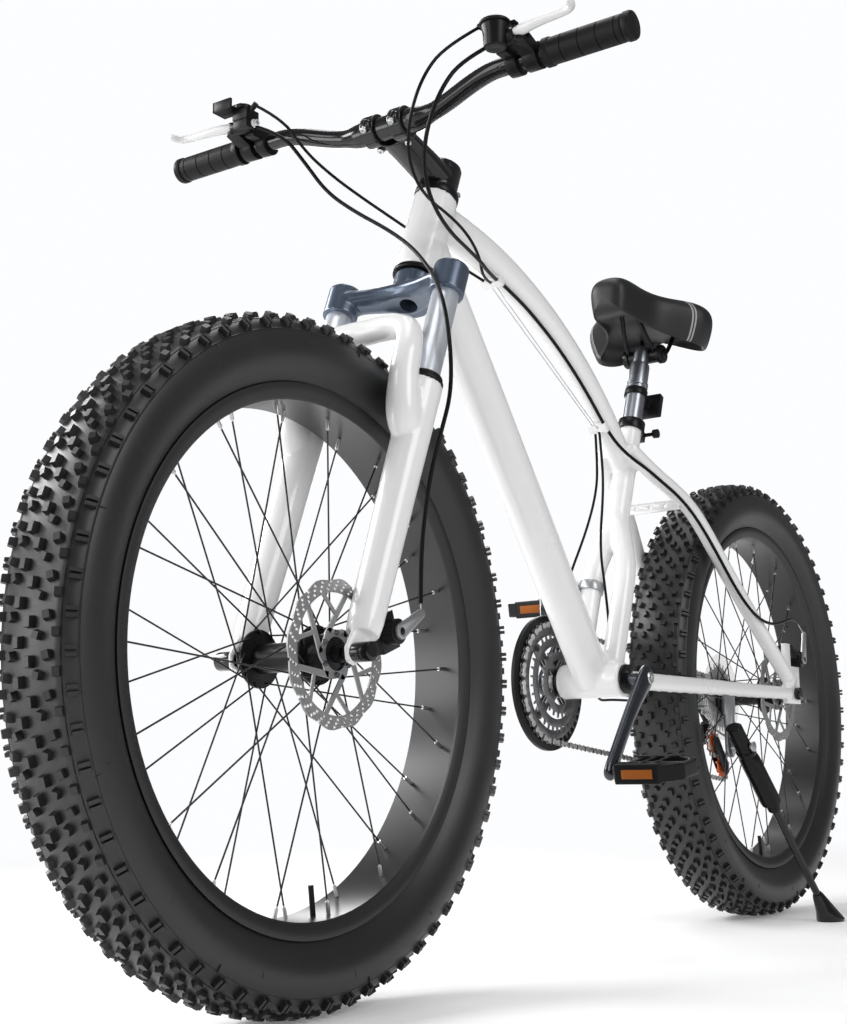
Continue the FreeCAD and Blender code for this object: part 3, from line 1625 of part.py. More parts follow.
def pedal(sign):
    inner = pedal_at(sign) + LEFT * (sign * pedal_gap)
    middle = inner + LEFT * (sign * pedal_width / 2)
    body = block(middle, FORWARD, LEFT, UP, pedal_length, pedal_width, pedal_height)
    gap_length = (pedal_length - 2 * pedal_wall - pedal_core_width) / 2
    gap_width = pedal_width - 2 * pedal_wall
    for way in (1, -1):
        centre = middle + FORWARD * (way * (pedal_core_width + gap_length) / 2)
        body = body.cut(block(centre, FORWARD, LEFT, UP, gap_length, gap_width, 2 * pedal_height))
    bore = rod(
        inner - LEFT * (sign * overrun), inner + LEFT * (sign * (pedal_width + overrun)),
        pedal_axle_radius + running_gap,
    )
    body = body.cut(bore)
    made = [body]
    for way in (1, -1):
        centre = middle + FORWARD * (way * (pedal_length / 2 + pedal_reflector_thickness / 2))
        made.append(
            block(
                centre, FORWARD, LEFT, UP, pedal_reflector_thickness,
                pedal_reflector_length, pedal_reflector_height,
            ),
        )
    return made


# Chain

def tangent_run(first, second):
    # Chain line between two wheels, each (centre, radius, turning sign).
    (start, start_radius, start_sign), (end, end_radius, end_sign) = first, second
    span = end - start
    ease = (end_sign * end_radius - start_sign * start_radius) / span.Length
    way = unit(span)
    left = V(-way.z, 0, way.x)
    normal = way * ease + left * math.sqrt(1 - ease * ease)
    return start - normal * (start_sign * start_radius), end - normal * (end_sign * end_radius)


def chain_wheels():
    def pitch_radius(teeth):
        return chain_pitch / (2 * math.sin(math.pi / teeth))

    ring = (beside(bracket_at, chain_plane), pitch_radius(ring_teeth[0]), -1)
    tension = (tension_at, pitch_radius(jockey_teeth), -1)
    guide = (guide_at, pitch_radius(jockey_teeth), 1)
    sprocket = (beside(rear_axle_at, chain_plane), pitch_radius(sprocket_teeth[driven_sprocket]), -1)
    return [ring, tension, guide, sprocket]


def chain_loop(offset):
    # The loop's outline, moved outwards by offset from the pitch line.
    wheels = [(centre, radius - sign * offset, sign) for centre, radius, sign in chain_wheels()]
    runs = [tangent_run(wheels[i], wheels[(i + 1) % len(wheels)]) for i in range(len(wheels))]
    edges = []
    for index, (centre, radius, sign) in enumerate(wheels):
        entry = runs[index - 1][1]
        leave = runs[index][0]
        start_turn = math.atan2(entry.z - centre.z, entry.x - centre.x)
        end_turn = math.atan2(leave.z - centre.z, leave.x - centre.x)
        while sign * (end_turn - start_turn) <= 0:
            end_turn += sign * 2 * math.pi
        half = (start_turn + end_turn) / 2
        middle = centre + V(math.cos(half), 0, math.sin(half)) * radius
        edges.append(Part.Arc(entry, middle, leave).toShape())
        edges.append(Part.LineSegment(*runs[index]).toShape())
    return Part.Wire(edges)


def chain():
    made = []
    inner_side = ring_thickness / 2 + chain_side_gap
    band = Part.Face(chain_loop(chain_plate_height / 2)).cut(Part.Face(chain_loop(-chain_plate_height / 2)))
    for sign in (1, -1):
        plate = band.extrude(LEFT * (sign * chain_plate))
        plate.translate(LEFT * (sign * inner_side))
        made.append(plate)
    wheels_round = chain_wheels()
    pins = []
    for index, first in enumerate(wheels_round):
        second = wheels_round[(index + 1) % len(wheels_round)]
        start, end = tangent_run(first, second)
        way = unit(end - start)
        count = int(((end - start).Length - 2 * chain_pin_margin) / chain_pitch)
        for step in range(count + 1):
            at = start + way * (chain_pin_margin + step * chain_pitch)
            pins.append(rod(beside(at, -inner_side), beside(at, inner_side), chain_pin_radius))
    return [fused(made + pins)]


def jockey_wheel(centre):
    disc = toothed_disc(centre, jockey_teeth, jockey_thickness, jockey_bore_radius + jockey_hole_gap)
    half = cage_gap - clear_gap
    boss = sleeve(
        beside(centre, -half), beside(centre, half),
        jockey_boss_radius, jockey_bore_radius + jockey_hole_gap,
    )
    return fused([disc, boss])


# Derailleurs

def mech_axis():
    turn = math.radians(mech_slant)
    return V(0, math.sin(turn), math.cos(turn))


def mech_pivot():
    return rear_axle_at + V(-mech_pivot_back, -mech_side, -mech_pivot_drop)


def mech_knuckle():
    return mech_pivot() + FORWARD * mech_link_length


def lug_pair(centre, axis):
    made = []
    for sign in (1, -1):
        start = centre + axis * (sign * (mech_link_height / 2 + clear_gap))
        made.append(rod(start, start + axis * (sign * mech_lug_height), mech_lug_radius))
    reach = axis * (mech_link_height / 2 + clear_gap + mech_lug_height)
    made.append(rod(centre - reach, centre + reach, mech_pin_radius))
    return made


def mech_yoke(centre, axis, way):
    # Two cheeks past the link's round end, joined by a spine behind it.
    start = mech_link_radius + clear_gap
    length = start + mech_lug_radius
    height = mech_link_height + 2 * clear_gap + 2 * mech_lug_height
    spine_at = centre + way * (start + mech_lug_radius / 2)
    made = [block(spine_at, FORWARD, axis.cross(FORWARD), axis, mech_lug_radius, mech_lug_radius, height)]
    for sign in (1, -1):
        lift = axis * (sign * (mech_link_height / 2 + clear_gap + mech_lug_height / 2))
        cheek = centre + lift + way * (length / 2)
        made.append(
            block(cheek, FORWARD, axis.cross(FORWARD), axis, length, mech_lug_radius, mech_lug_height),
        )
    return made


def derailleur_body():
    pivot = mech_pivot()
    axis = mech_axis()
    lugs = lug_pair(pivot, axis)
    yoke = mech_yoke(pivot, axis, FORWARD * -1)
    outer = -(dropout_side + dropout_thickness)
    hanger_start = beside(rear_axle_at, outer) + V(-dropout_back / 2, 0, 0)
    hanger_end = V(pivot.x - 2 * mech_lug_radius, hanger_start.y, pivot.z)
    thickness = LEFT * -mech_hanger_thickness
    hanger = rounded_bar(hanger_start, hanger_end, mech_hanger_width / 2, mech_lug_radius, thickness)
    hanger = hanger.cut(rod(rear_axle_at, beside(rear_axle_at, 2 * outer), axle_cap_radius + clear_gap))
    return [largest(fused(lugs + yoke + [hanger]))]


def derailleur_link():
    axis = mech_axis()
    start = mech_pivot() - axis * (mech_link_height / 2)
    end = mech_knuckle() - axis * (mech_link_height / 2)
    bar = rounded_bar(start, end, mech_link_radius, mech_link_radius, axis * mech_link_height)
    for centre in (mech_pivot(), mech_knuckle()):
        reach = axis * mech_link_height
        bar = bar.cut(rod(centre - reach, centre + reach, mech_pin_radius + running_gap))
    return bar


def derailleur_cage():
    axis = mech_axis()
    knuckle = mech_knuckle()
    lugs = lug_pair(knuckle, axis)
    made = []
    for sign in (1, -1):
        start = guide_at + LEFT * (sign * cage_gap)
        end = tension_at + LEFT * (sign * cage_gap)
        made.append(rounded_bar(start, end, cage_end_radius, cage_end_radius, LEFT * (sign * cage_plate)))
    pins = []
    for centre in (guide_at, tension_at):
        reach = cage_gap + cage_plate
        pins.append(rod(beside(centre, -reach), beside(centre, reach), jockey_bore_radius))
    yoke = mech_yoke(knuckle, axis, FORWARD)
    plate_face = guide_at - LEFT * (cage_gap + cage_plate)
    foot = knuckle + FORWARD * (mech_link_radius + clear_gap + mech_lug_radius)
    arm_start = V(foot.x, plate_face.y, foot.z)
    arm_end = plate_face + FORWARD * cage_end_radius
    arm = rounded_bar(arm_start, arm_end, cage_arm_radius, cage_arm_radius, LEFT * (foot.y - plate_face.y))
    return [fused(lugs + yoke + [arm] + made + pins)]


def front_band_at():
    return on_seat(band_along, 0, -seat_leg_spread)


def front_pivot():
    top = bracket_at + UP * (chain_pitch / (2 * math.sin(math.pi / ring_teeth[0])))
    return V(front_band_at().x + front_mech_arm, -front_pivot_side, top.z + front_pivot_rise)


def front_derailleur_clamp():
    centre = front_band_at()
    low = centre - seat_up * (band_height / 2)
    high = centre + seat_up * (band_height / 2)
    band = rod(low, high, seat_leg_radius + band_wall)
    pivot = front_pivot()
    start = pivot - FORWARD * (front_pivot_length / 2)
    end = pivot + FORWARD * (front_pivot_length / 2)
    pin = rod(start - FORWARD * front_link_radius, end + FORWARD * front_link_radius, front_pivot_radius)
    lugs = []
    for near, far in ((start, start - FORWARD * front_link_radius), (end, end + FORWARD * front_link_radius)):
        lugs.append(rod(near, far, front_link_radius))
        middle = (near + far) / 2
        inward = V(middle.x, centre.y - seat_leg_radius, middle.z)
        span = inward - middle
        lugs.append(
            block(
                middle + span / 2, LEFT, FORWARD, UP, span.Length, front_link_radius, 2 * front_link_radius,
            ),
        )
    body = fused([band, pin] + lugs)
    return [
        largest(
            body.cut(
                rod(
                    on_seat(0, 0, -seat_leg_spread),
                    on_seat(seat_leg_split, 0, -seat_leg_spread), seat_leg_radius,
                ),
            ),
        ),
    ]


def front_derailleur_cage():
    pivot = front_pivot()
    half = front_pivot_length / 2 - clear_gap
    hub_tube = rod(pivot - FORWARD * half, pivot + FORWARD * half, front_link_radius)
    low = bracket_at.z + guard_radius + front_cage_lift
    plates = []
    centre_x = pivot.x + front_cage_shift
    for sign in (1, -1):
        side = chain_plane + sign * (front_cage_gap + front_cage_plate / 2)
        centre = V(centre_x, side, low + front_cage_height / 2)
        plates.append(
            block(centre, FORWARD, LEFT, UP, front_cage_length, front_cage_plate, front_cage_height),
        )
    top = V(centre_x, chain_plane, low + front_cage_height - front_cage_plate / 2)
    roof = block(top, FORWARD, LEFT, UP, front_link_radius * 2, 2 * front_cage_gap, front_cage_plate)
    arm_start = V(pivot.x, pivot.y, pivot.z)
    arm_end = V(
        pivot.x, chain_plane + front_cage_gap + front_cage_plate / 2,
        low + front_cage_height - front_link_radius,
    )
    span = arm_end - arm_start
    arm = block(
        arm_start + span / 2, unit(span), FORWARD, unit(span).cross(FORWARD),
        span.Length, 2 * half, front_cage_plate * 2,
    )
    body = fused([hub_tube, arm, roof] + plates)
    return [
        largest(
            body.cut(
                rod(
                    pivot - FORWARD * front_pivot_length,
                    pivot + FORWARD * front_pivot_length, front_pivot_radius + running_gap,
                ),
            ),
        ),
    ]


# Brakes

def caliper_frame(centre, angle):
    turn = math.radians(angle)
    outward = V(math.cos(turn), 0, math.sin(turn))
    return outward, V(-outward.z, 0, outward.x)


def caliper(centre, side, angle):
    outward, round_way = caliper_frame(centre, angle)
    reach = caliper_inner_reach + caliper_outer_reach
    middle_radius = rotor_radius + (caliper_outer_reach - caliper_inner_reach) / 2
    width = caliper_inboard + caliper_outboard
    middle_side = side + (caliper_outboard - caliper_inboard) / 2
    middle = beside(centre + outward * middle_radius, middle_side)
    body = block(middle, round_way, LEFT, outward, 2 * caliper_half_length, width, reach)
    slot_centre = beside(centre + outward * (rotor_radius + caliper_slot_depth - reach), side)
    body = body.cut(
        block(
            slot_centre, round_way, LEFT, outward, 4 * caliper_half_length, caliper_slot_gap * 2, 2 * reach,
        ),
    )
    can_start = beside(centre + outward * middle_radius, side + caliper_outboard)
    can = rod(can_start, beside(can_start, caliper_can_length), caliper_can_radius)
    pin = rod(can_start, beside(can_start, caliper_can_length + brake_arm_thickness), brake_arm_pin_radius)
    body = fused([body, can, pin])
    pads = []
    for sign in (1, -1):
        face = side + sign * (rotor_thickness / 2 + pad_rotor_gap)
        start = beside(centre + outward * (rotor_radius - pad_radius), face)
        pads.append(
            rod(
                start, beside(start, sign * (caliper_slot_gap - rotor_thickness / 2 - pad_rotor_gap)),
                pad_radius,
            ),
        )
    return body, pads


def brake_arm(centre, side, angle, arm_angle):
    outward, round_way = caliper_frame(centre, angle)
    middle_radius = rotor_radius + (caliper_outer_reach - caliper_inner_reach) / 2
    root = beside(
        centre + outward * middle_radius, side + caliper_outboard + caliper_can_length + clear_gap,
    )
    turn = math.radians(arm_angle)
    tip = root + V(math.cos(turn), 0, math.sin(turn)) * brake_arm_length
    bar = rounded_bar(root, tip, brake_arm_root_radius, brake_arm_tip_radius, LEFT * brake_arm_thickness)
    return bar.cut(
        rod(
            beside(root, -overrun), beside(root, brake_arm_thickness + overrun),
            brake_arm_pin_radius + running_gap,
        ),
    )


def front_brake_caliper():
    body, pads = caliper(front_axle_at, front_rotor_side, caliper_front_angle)
    outward, round_way = caliper_frame(front_axle_at, caliper_front_angle)
    inner = front_rotor_side + caliper_slot_gap
    start = beside(front_axle_at + outward * rotor_radius, inner)
    leg_at = on_fork((start - fork_base).dot(fork_up), stanchion_offset, inner)
    bar = rounded_bar(start, leg_at, mount_bar_width / 2, mount_bar_width / 2, LEFT * mount_bar_thickness)
    low = on_fork(leg_bottom_along, stanchion_offset, leg_side)
    high = on_fork(leg_top_along, stanchion_offset, leg_side)
    bar = bar.cut(cone(low, high, leg_bottom_radius, leg_top_radius))
    return [fused([body, largest_near(bar, start)])] + pads


def largest_near(shape, point):
    vertex = Part.Vertex(point)
    return min(shape.Solids, key=lambda solid: solid.distToShape(vertex)[0])


def rear_brake_caliper():
    body, pads = caliper(rear_axle_at, rear_rotor_side, caliper_rear_angle)
    outward, round_way = caliper_frame(rear_axle_at, caliper_rear_angle)
    face = dropout_side - mount_bar_thickness
    start = beside(
        rear_axle_at + outward * (rotor_radius + caliper_outer_reach - mount_bar_width / 2), face,
    )
    tab_middle = (dropout_tab_front + dropout_tab_back) / 2
    end = beside(rear_axle_at, face) + V(tab_middle, 0, dropout_tab_height - mount_bar_width / 2)
    bar = rounded_bar(start, end, mount_bar_width / 2, mount_bar_width / 2, LEFT * mount_bar_thickness)
    boss = rod(
        start, beside(start, rear_rotor_side + caliper_outboard - face - overrun), mount_bar_width / 2,
    )
    return [fused([body, bar, boss])] + pads


# Kickstand

def stand_way():
    return unit(stand_foot - stand_top)


def stand_point(share):
    return stand_top + (stand_foot - stand_top) * share


def stand_pivot():
    return stand_point(stand_pivot_share)


def kickstand_bracket():
    pivot = stand_pivot()
    inner = V(pivot.x, stand_top.y - stand_sleeve_radius - clear_gap, pivot.z)
    outer = pivot + LEFT * (stand_sleeve_radius + stand_pin_length)
    pin = rod(inner, outer, stand_pin_radius)
    cap = rod(pivot + LEFT * (stand_sleeve_radius + stand_cap_gap), outer, stand_cap_radius)
    stay_middle = chain_stay_point(pivot.x)
    plate_top = V(
        stay_middle.x, inner.y - stand_plate_thickness,
        stay_middle.z - chain_stay_front_height / 2 - stand_tab_height,
    )
    start = inner - LEFT * stand_plate_thickness
    lower = rounded_bar(
        start, plate_top, stand_plate_width / 2, stand_plate_width / 2, LEFT * stand_plate_thickness,
    )
    hole_at = (start + plate_top) / 2
    lower = lower.cut(
        rod(
            hole_at - LEFT * overrun, hole_at + LEFT * (stand_plate_thickness + overrun), stand_hole_radius,
        ),
    )
    tab = block(
        V(stay_middle.x, plate_top.y + stand_plate_thickness / 2, plate_top.z + stand_tab_height / 2),
        FORWARD, LEFT, UP, stand_tab_length, stand_plate_thickness, stand_tab_height * 2,
    )
    tab = tab.cut(chain_stay())
    return [fused([lower, largest(tab), pin, cap])]


def chain_stay_point(x):
    start = beside(bracket_at, shell_length / 2 - chain_stay_inset)
    end = beside(rear_axle_at, dropout_side + dropout_thickness / 2) + FORWARD * chain_stay_end
    share = (x - start.x) / (end.x - start.x)
    return start + (end - start) * share


def kickstand_sleeve():
    end = stand_point(stand_sleeve_share)
    bore_start = end - stand_way() * stand_rod_depth
    body = rod(stand_top, end, stand_sleeve_radius)
    body = body.cut(rod(bore_start, end + stand_way() * overrun, stand_rod_radius + running_gap))
    pivot = stand_pivot()
    reach = LEFT * (2 * stand_sleeve_radius)
    return body.cut(rod(pivot - reach, pivot + reach, stand_pin_radius + running_gap))


def kickstand_leg():
    end = stand_point(stand_sleeve_share)
    start = end - stand_way() * (stand_rod_depth / 2)
    ground = V(stand_foot.x, stand_foot.y, 0)
    foot_top = ground - stand_way() * stand_foot_length
    shaft = rod(start, foot_top, stand_rod_radius)
    flare = cone(foot_top, ground + stand_way() * stand_foot_flare, stand_foot_radius, stand_foot_flare)
    low = block(
        ground - UP * stand_foot_length, FORWARD, LEFT, UP,
        4 * stand_foot_length, 4 * stand_foot_length, 2 * stand_foot_length,
    )
    return fused([shaft, flare]).cut(low)


# Export

bar_cords = handlebar_cables()
frame_cords = frame_cables()
pieces = {
    "main_frame": main_frame(),
    "rear_triangle": rear_triangle(),
    "bearing_cups": bearing_cups(),
    "seat_clamp": seat_clamp(),
    "seat_clamp_lever": [seat_clamp_lever()],
    "fork_crown": fork_crown(),
    "stanchions": stanchions(),
    "fork_springs": fork_springs(),
    "fork_lowers": fork_lowers(),
    "fork_seals": fork_seals(),
    "stem": stem() + stem_straps(),
    "handlebar": [handlebar()],
    "grips": grips(),
    "control_mounts": control_mounts(),
    "left_brake_lever": [brake_lever(1)],
    "right_brake_lever": [brake_lever(-1)],
    "left_shift_lever": [shift_lever(1)],
    "right_shift_lever": [shift_lever(-1)],
    "front_axle": axle(front_axle_at, front_axle_length, front_hub_width / 2, front_dropout_thickness),
    "rear_axle": axle(rear_axle_at, rear_axle_length, rear_hub_width / 2, dropout_thickness),
    "front_brake_caliper": front_brake_caliper(),
    "rear_brake_caliper": rear_brake_caliper(),
    "front_brake_arm": [brake_arm(front_axle_at, front_rotor_side, caliper_front_angle, front_arm_angle)],
    "rear_brake_arm": [brake_arm(rear_axle_at, rear_rotor_side, caliper_rear_angle, rear_arm_angle)],
    "freewheel": [freewheel()],
    "crankset": crankset(),
    "chainrings": [chainrings()],
    "chain_guard": [chain_guard()],
    "left_pedal": pedal(1),
    "right_pedal": pedal(-1),
    "chain": chain(),
    "upper_jockey_wheel": [jockey_wheel(guide_at)],
    "lower_jockey_wheel": [jockey_wheel(tension_at)],
    "derailleur_body": derailleur_body(),
    "derailleur_link": [derailleur_link()],
    "derailleur_cage": derailleur_cage(),
    "front_derailleur_clamp": front_derailleur_clamp(),
    "front_derailleur_cage": front_derailleur_cage(),
    "seat_post": [seat_post()],
    "rear_reflector": [rear_reflector()],
    "saddle_cover": [saddle_cover()],
    "saddle_frame": saddle_frame(),
    "kickstand_bracket": kickstand_bracket(),
    "kickstand_sleeve": [kickstand_sleeve()],
    "kickstand_leg": [kickstand_leg()],
    "front_brake_cable": [cord(front_brake_route, brake_cable_radius)],
    "handlebar_cables": bar_cords,
    "frame_cables": frame_cords,
}
wheels = {
    "front": (front_axle_at, front_hub_width, front_left_flange, front_right_flange, front_rotor_side, 0.0),
    "rear": (rear_axle_at, rear_hub_width, rear_left_flange, rear_right_flange, rear_rotor_side,
             chain_line + (len(sprocket_teeth) - 1 - driven_sprocket) * sprocket_spacing + sprocket_thickness),
}
for end, (centre, width, left_flange, right_flange, rotor_side, core) in wheels.items():
    pieces[end + "_tire"] = [tire(centre)]
    pieces[end + "_inner_tube"] = inner_tube(centre)
    pieces[end + "_rim"] = [rim(centre)]
    pieces[end + "_spokes"] = spokes(centre, left_flange, right_flange)
    pieces[end + "_hub"] = [hub(centre, width, left_flange, right_flange, rotor_side, core)]
    pieces[end + "_rotor"] = [rotor(centre, rotor_side)]
pieces["rear_hub"].append(spoke_protector())

os.makedirs("parts", exist_ok=True)
for name, solids in pieces.items():
    for solid in solids:
        if not solid.isValid():
            print("not valid:", name)
    print(name, len(solids), round(sum(solid.Volume for solid in solids)))
    Part.makeCompound(solids).exportStep("parts/" + name + ".step")
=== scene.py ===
# %% [markdown]
# # A fat tire bicycle, dressed around its engineered frame
# The engineered model already holds every tube, axle and lever at its true size.
# This lesson gives each piece the surface that the real one has, and never moves a part.
# Lengths are in metres: +X is forward, +Y is the rider's left and +Z is up.

# %% Load the frame
import json
import math

import bmesh
import bpy
from mathutils import Matrix, Vector


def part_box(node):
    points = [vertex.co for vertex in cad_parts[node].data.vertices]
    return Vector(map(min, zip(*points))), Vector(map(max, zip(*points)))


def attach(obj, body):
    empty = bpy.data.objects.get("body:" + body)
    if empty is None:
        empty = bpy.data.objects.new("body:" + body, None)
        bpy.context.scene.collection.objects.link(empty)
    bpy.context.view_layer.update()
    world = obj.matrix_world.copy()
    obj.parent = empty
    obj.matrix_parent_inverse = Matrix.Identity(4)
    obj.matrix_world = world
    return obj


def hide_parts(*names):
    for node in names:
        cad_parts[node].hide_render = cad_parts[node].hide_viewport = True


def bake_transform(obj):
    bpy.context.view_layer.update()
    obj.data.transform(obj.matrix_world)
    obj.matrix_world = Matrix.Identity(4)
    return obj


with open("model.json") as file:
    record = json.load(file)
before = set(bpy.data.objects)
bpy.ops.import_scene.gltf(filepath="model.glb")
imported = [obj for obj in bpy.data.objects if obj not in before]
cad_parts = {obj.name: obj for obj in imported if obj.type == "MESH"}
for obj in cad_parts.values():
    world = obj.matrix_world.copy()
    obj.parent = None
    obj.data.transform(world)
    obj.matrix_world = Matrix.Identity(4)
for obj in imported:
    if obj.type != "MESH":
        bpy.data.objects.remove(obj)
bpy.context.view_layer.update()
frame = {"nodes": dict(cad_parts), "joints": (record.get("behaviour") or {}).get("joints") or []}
nodes = frame["nodes"]
joints = {joint["name"]: joint for joint in frame["joints"]}
MM = 0.001
LEFT = Vector((0, 1, 0))
FORWARD = Vector((1, 0, 0))
UP = Vector((0, 0, 1))

# %% [markdown]
# ## Where things are
# Every place below is read from the joints, so the looks follow the model if it changes.
# The fork leans along the steering axis, and the seat tube along the seat post's slide.

# %% Places read from the joints


def leftward(distance):
    return LEFT * (distance * MM)


def upward(distance):
    return UP * (distance * MM)


def onward(distance):
    return FORWARD * (distance * MM)


def joint_place(name):
    return Vector(joints[name]["pos_m"])


def joint_axis(name):
    return Vector(joints[name]["axis"]).normalized()


front_axle = joint_place("front_wheel_spin")
rear_axle = joint_place("rear_wheel_spin")
bracket = joint_place("crank_spin")
head_low = joint_place("steer")
fork_up = joint_axis("steer")
fork_front = LEFT.cross(fork_up)
seat_up = joint_axis("seat_height")
seat_back = seat_up.cross(LEFT)
head_low_along = 552.3
leg_forward = 30
leg_side = 80
sides = ((1, "left"), (-1, "right"))


def on_fork(along, forward=0.0, side=0.0):
    climb = along * MM - head_low_along * MM
    return head_low + fork_up * climb + fork_front * (forward * MM) + leftward(side)


def on_leg(along, sign):
    return on_fork(along, leg_forward, sign * leg_side)


def on_seat(along, back=0.0, side=0.0):
    return bracket + seat_up * (along * MM) + seat_back * (back * MM) + leftward(side)


print("head angle", round(math.degrees(math.asin(fork_up.z)), 2))

# %% [markdown]
# ## Camera and light
# The camera stands low beside the front wheel and looks up a little, as the photographer did.
# Its place was solved from the two wheels, so it is written as a place, three turns and a lens.

# %% Camera
camera_place = Vector((1.84044, 1.01622, 0.24671))
camera_yaw = math.radians(214.579)
camera_pitch = math.radians(9.963)
camera_roll = math.radians(0.762)
camera_lens = 52.045


def make_camera():
    data = bpy.data.cameras.new("camera")
    data.lens = camera_lens
    data.sensor_width = 36.0
    camera = bpy.data.objects.new("camera", data)
    bpy.context.scene.collection.objects.link(camera)
    flat = math.cos(camera_pitch)
    ahead = Vector((flat * math.cos(camera_yaw), flat * math.sin(camera_yaw), math.sin(camera_pitch)))
    right = ahead.cross(UP).normalized()
    down = ahead.cross(right)
    turned_right = right * math.cos(camera_roll) + down * math.sin(camera_roll)
    turned_down = down * math.cos(camera_roll) - right * math.sin(camera_roll)
    axes = Matrix((turned_right, -turned_down, -ahead)).transposed()
    camera.matrix_world = Matrix.Translation(camera_place) @ axes.to_4x4()
    bpy.context.scene.camera = camera


make_camera()
print("camera lens", camera_lens)
bpy.context.scene.view_settings.view_transform = "Standard"

# %% [markdown]
# ## Writing node graphs as sums
# Node graphs read best as arithmetic. `Value` wraps one socket, and its operators add Math nodes.
# `Graph.node` makes every other node: first its settings, then the values or links of its sockets.

# %% Graph helper


class Value:
    def __init__(self, graph, socket):
        self.graph = graph
        self.socket = socket

    def math(self, operation, first, second):
        return self.graph.node("ShaderNodeMath", {"operation": operation}, {0: first, 1: second})

    def __add__(self, other):
        return self.math("ADD", self, other)

    def __sub__(self, other):
        return self.math("SUBTRACT", self, other)

    def __rsub__(self, other):
        return self.math("SUBTRACT", other, self)

    def __mul__(self, other):
        return self.math("MULTIPLY", self, other)

    def __gt__(self, other):
        return self.math("GREATER_THAN", self, other)

    def __lt__(self, other):
        return self.math("LESS_THAN", self, other)


class Graph:
    def __init__(self, tree):
        self.tree = tree

    def node(self, kind, settings=None, sockets=None, out=0):
        made = self.tree.nodes.new(kind)
        for name, value in (settings or {}).items():
            setattr(made, name, value)
        for name, value in (sockets or {}).items():
            self.feed(made.inputs[name], value)
        return Value(self, made.outputs[out]) if len(made.outputs) else made

    def feed(self, socket, value):
        if isinstance(value, Value):
            self.tree.links.new(value.socket, socket)
        else:
            socket.default_value = value

    def mix_colour(self, share, first, second):
        settings = {"data_type": "RGBA"}
        return self.node("ShaderNodeMix", settings, {0: share, 6: first, 7: second}, out=2)

    def vector(self, x=0.0, y=0.0, z=0.0):
        return self.node("ShaderNodeCombineXYZ", None, {0: x, 1: y, 2: z})

    def split(self, vector):
        parts = self.node("ShaderNodeSeparateXYZ", None, {0: vector}).socket.node
        return [Value(self, output) for output in parts.outputs]


# %% [markdown]
# ## World and lamps
# The photo is a studio shot on white, lit by broad soft lamps. An image of a studio could light
# the scene, but a plain pale world and six area lamps are enough, and each can be moved alone.

# %% World and lamps


def rgba(colour):
    return (colour[0], colour[1], colour[2], 1.0)


sky_colour = (0.98, 0.985, 1.0)
sky_light = 0.2


def make_world():
    world = bpy.data.worlds.new("studio")
    bpy.context.scene.world = world
    world.use_nodes = True
    world.node_tree.nodes.clear()
    graph = Graph(world.node_tree)
    seen = graph.node("ShaderNodeLightPath", out="Is Camera Ray")
    strength = seen * (1.0 - sky_light) + sky_light
    light = graph.node("ShaderNodeBackground", None, {"Color": rgba(sky_colour), "Strength": strength})
    graph.node("ShaderNodeOutputWorld", None, {"Surface": light})


def add_lamp(name, place, target, size, power):
    data = bpy.data.lights.new(name, "AREA")
    data.shape = "RECTANGLE"
    data.size = size[0]
    data.size_y = size[1]
    data.energy = power
    lamp = bpy.data.objects.new(name, data)
    bpy.context.scene.collection.objects.link(lamp)
    lamp.location = place
    lamp.rotation_euler = (Vector(target) - Vector(place)).to_track_quat("-Z", "Y").to_euler()


make_world()
middle = (0.1, 0.0, 0.5)
add_lamp("key", (1.0, 3.2, 2.4), middle, (1.8, 2.4), 56)
add_lamp("front_fill", (3.4, -1.2, 1.7), middle, (0.9, 2.4), 32)
add_lamp("back_edge", (-2.6, -2.2, 2.2), middle, (1.2, 2.4), 40)
add_lamp("top", (0.2, -0.2, 3.2), middle, (2.6, 1.2), 30)
add_lamp("low_card", (2.7, -1.9, 0.7), (0.3, 0.0, 0.4), (0.9, 1.2), 18)
add_lamp("tread_edge", (1.1, -2.0, 1.9), (0.9, 0.0, 0.5), (2.0, 0.7), 52)
print("lamps", len(bpy.data.lights))

# %% [markdown]
# ## Making meshes
# A lathe turns an outline about a wheel's axle, and a sweep carries an oval along a line.
# A few closed sweeps can be melted into one skin by a voxel remesh, which leaves the soft
# fillets of welded and painted tubes where they meet.

# %% Mesh helpers


def new_object(name, mesh):
    made = bpy.data.objects.new(name, mesh)
    bpy.context.scene.collection.objects.link(made)
    return made


def mesh_from(name, points, faces):
    mesh = bpy.data.meshes.new(name)
    mesh.from_pydata([tuple(point) for point in points], [], faces)
    shape = bmesh.new()
    shape.from_mesh(mesh)
    bmesh.ops.remove_doubles(shape, verts=shape.verts, dist=0.01 * MM)
    bmesh.ops.recalc_face_normals(shape, faces=shape.faces)
    shape.to_mesh(mesh)
    shape.free()
    return mesh


def all_smooth(mesh):
    for face in mesh.polygons:
        face.use_smooth = True


def smooth(mesh, degrees):
    # Smooth shading, but for the edges that are sharper than the angle.
    all_smooth(mesh)
    mesh.set_sharp_from_angle(angle=math.radians(degrees))
    return mesh


def loop_faces(rings, size, closed=False):
    # Quads between neighbouring rings of points, with a cap on each end of an open row.
    faces = []
    for ring in range(rings if closed else rings - 1):
        low, high = ring * size, (ring + 1) % rings * size
        for index in range(size):
            following = (index + 1) % size
            faces.append((low + index, low + following, high + following, high + index))
    if not closed:
        faces += [tuple(range(size)), tuple(range((rings - 1) * size, rings * size))]
    return faces


def lathe(name, outline, centre, count, axis=LEFT, start=FORWARD):
    # Turns a closed outline of (radius, side) points, in millimetres, about an axis.
    across = axis.cross(start)
    points = []
    for turn in range(count):
        angle = 2 * math.pi * turn / count
        way = start * math.cos(angle) + across * math.sin(angle)
        for radius, side in outline:
            points.append(centre + way * (radius * MM) + axis * (side * MM))
    return mesh_from(name, points, loop_faces(count, len(outline), closed=True))


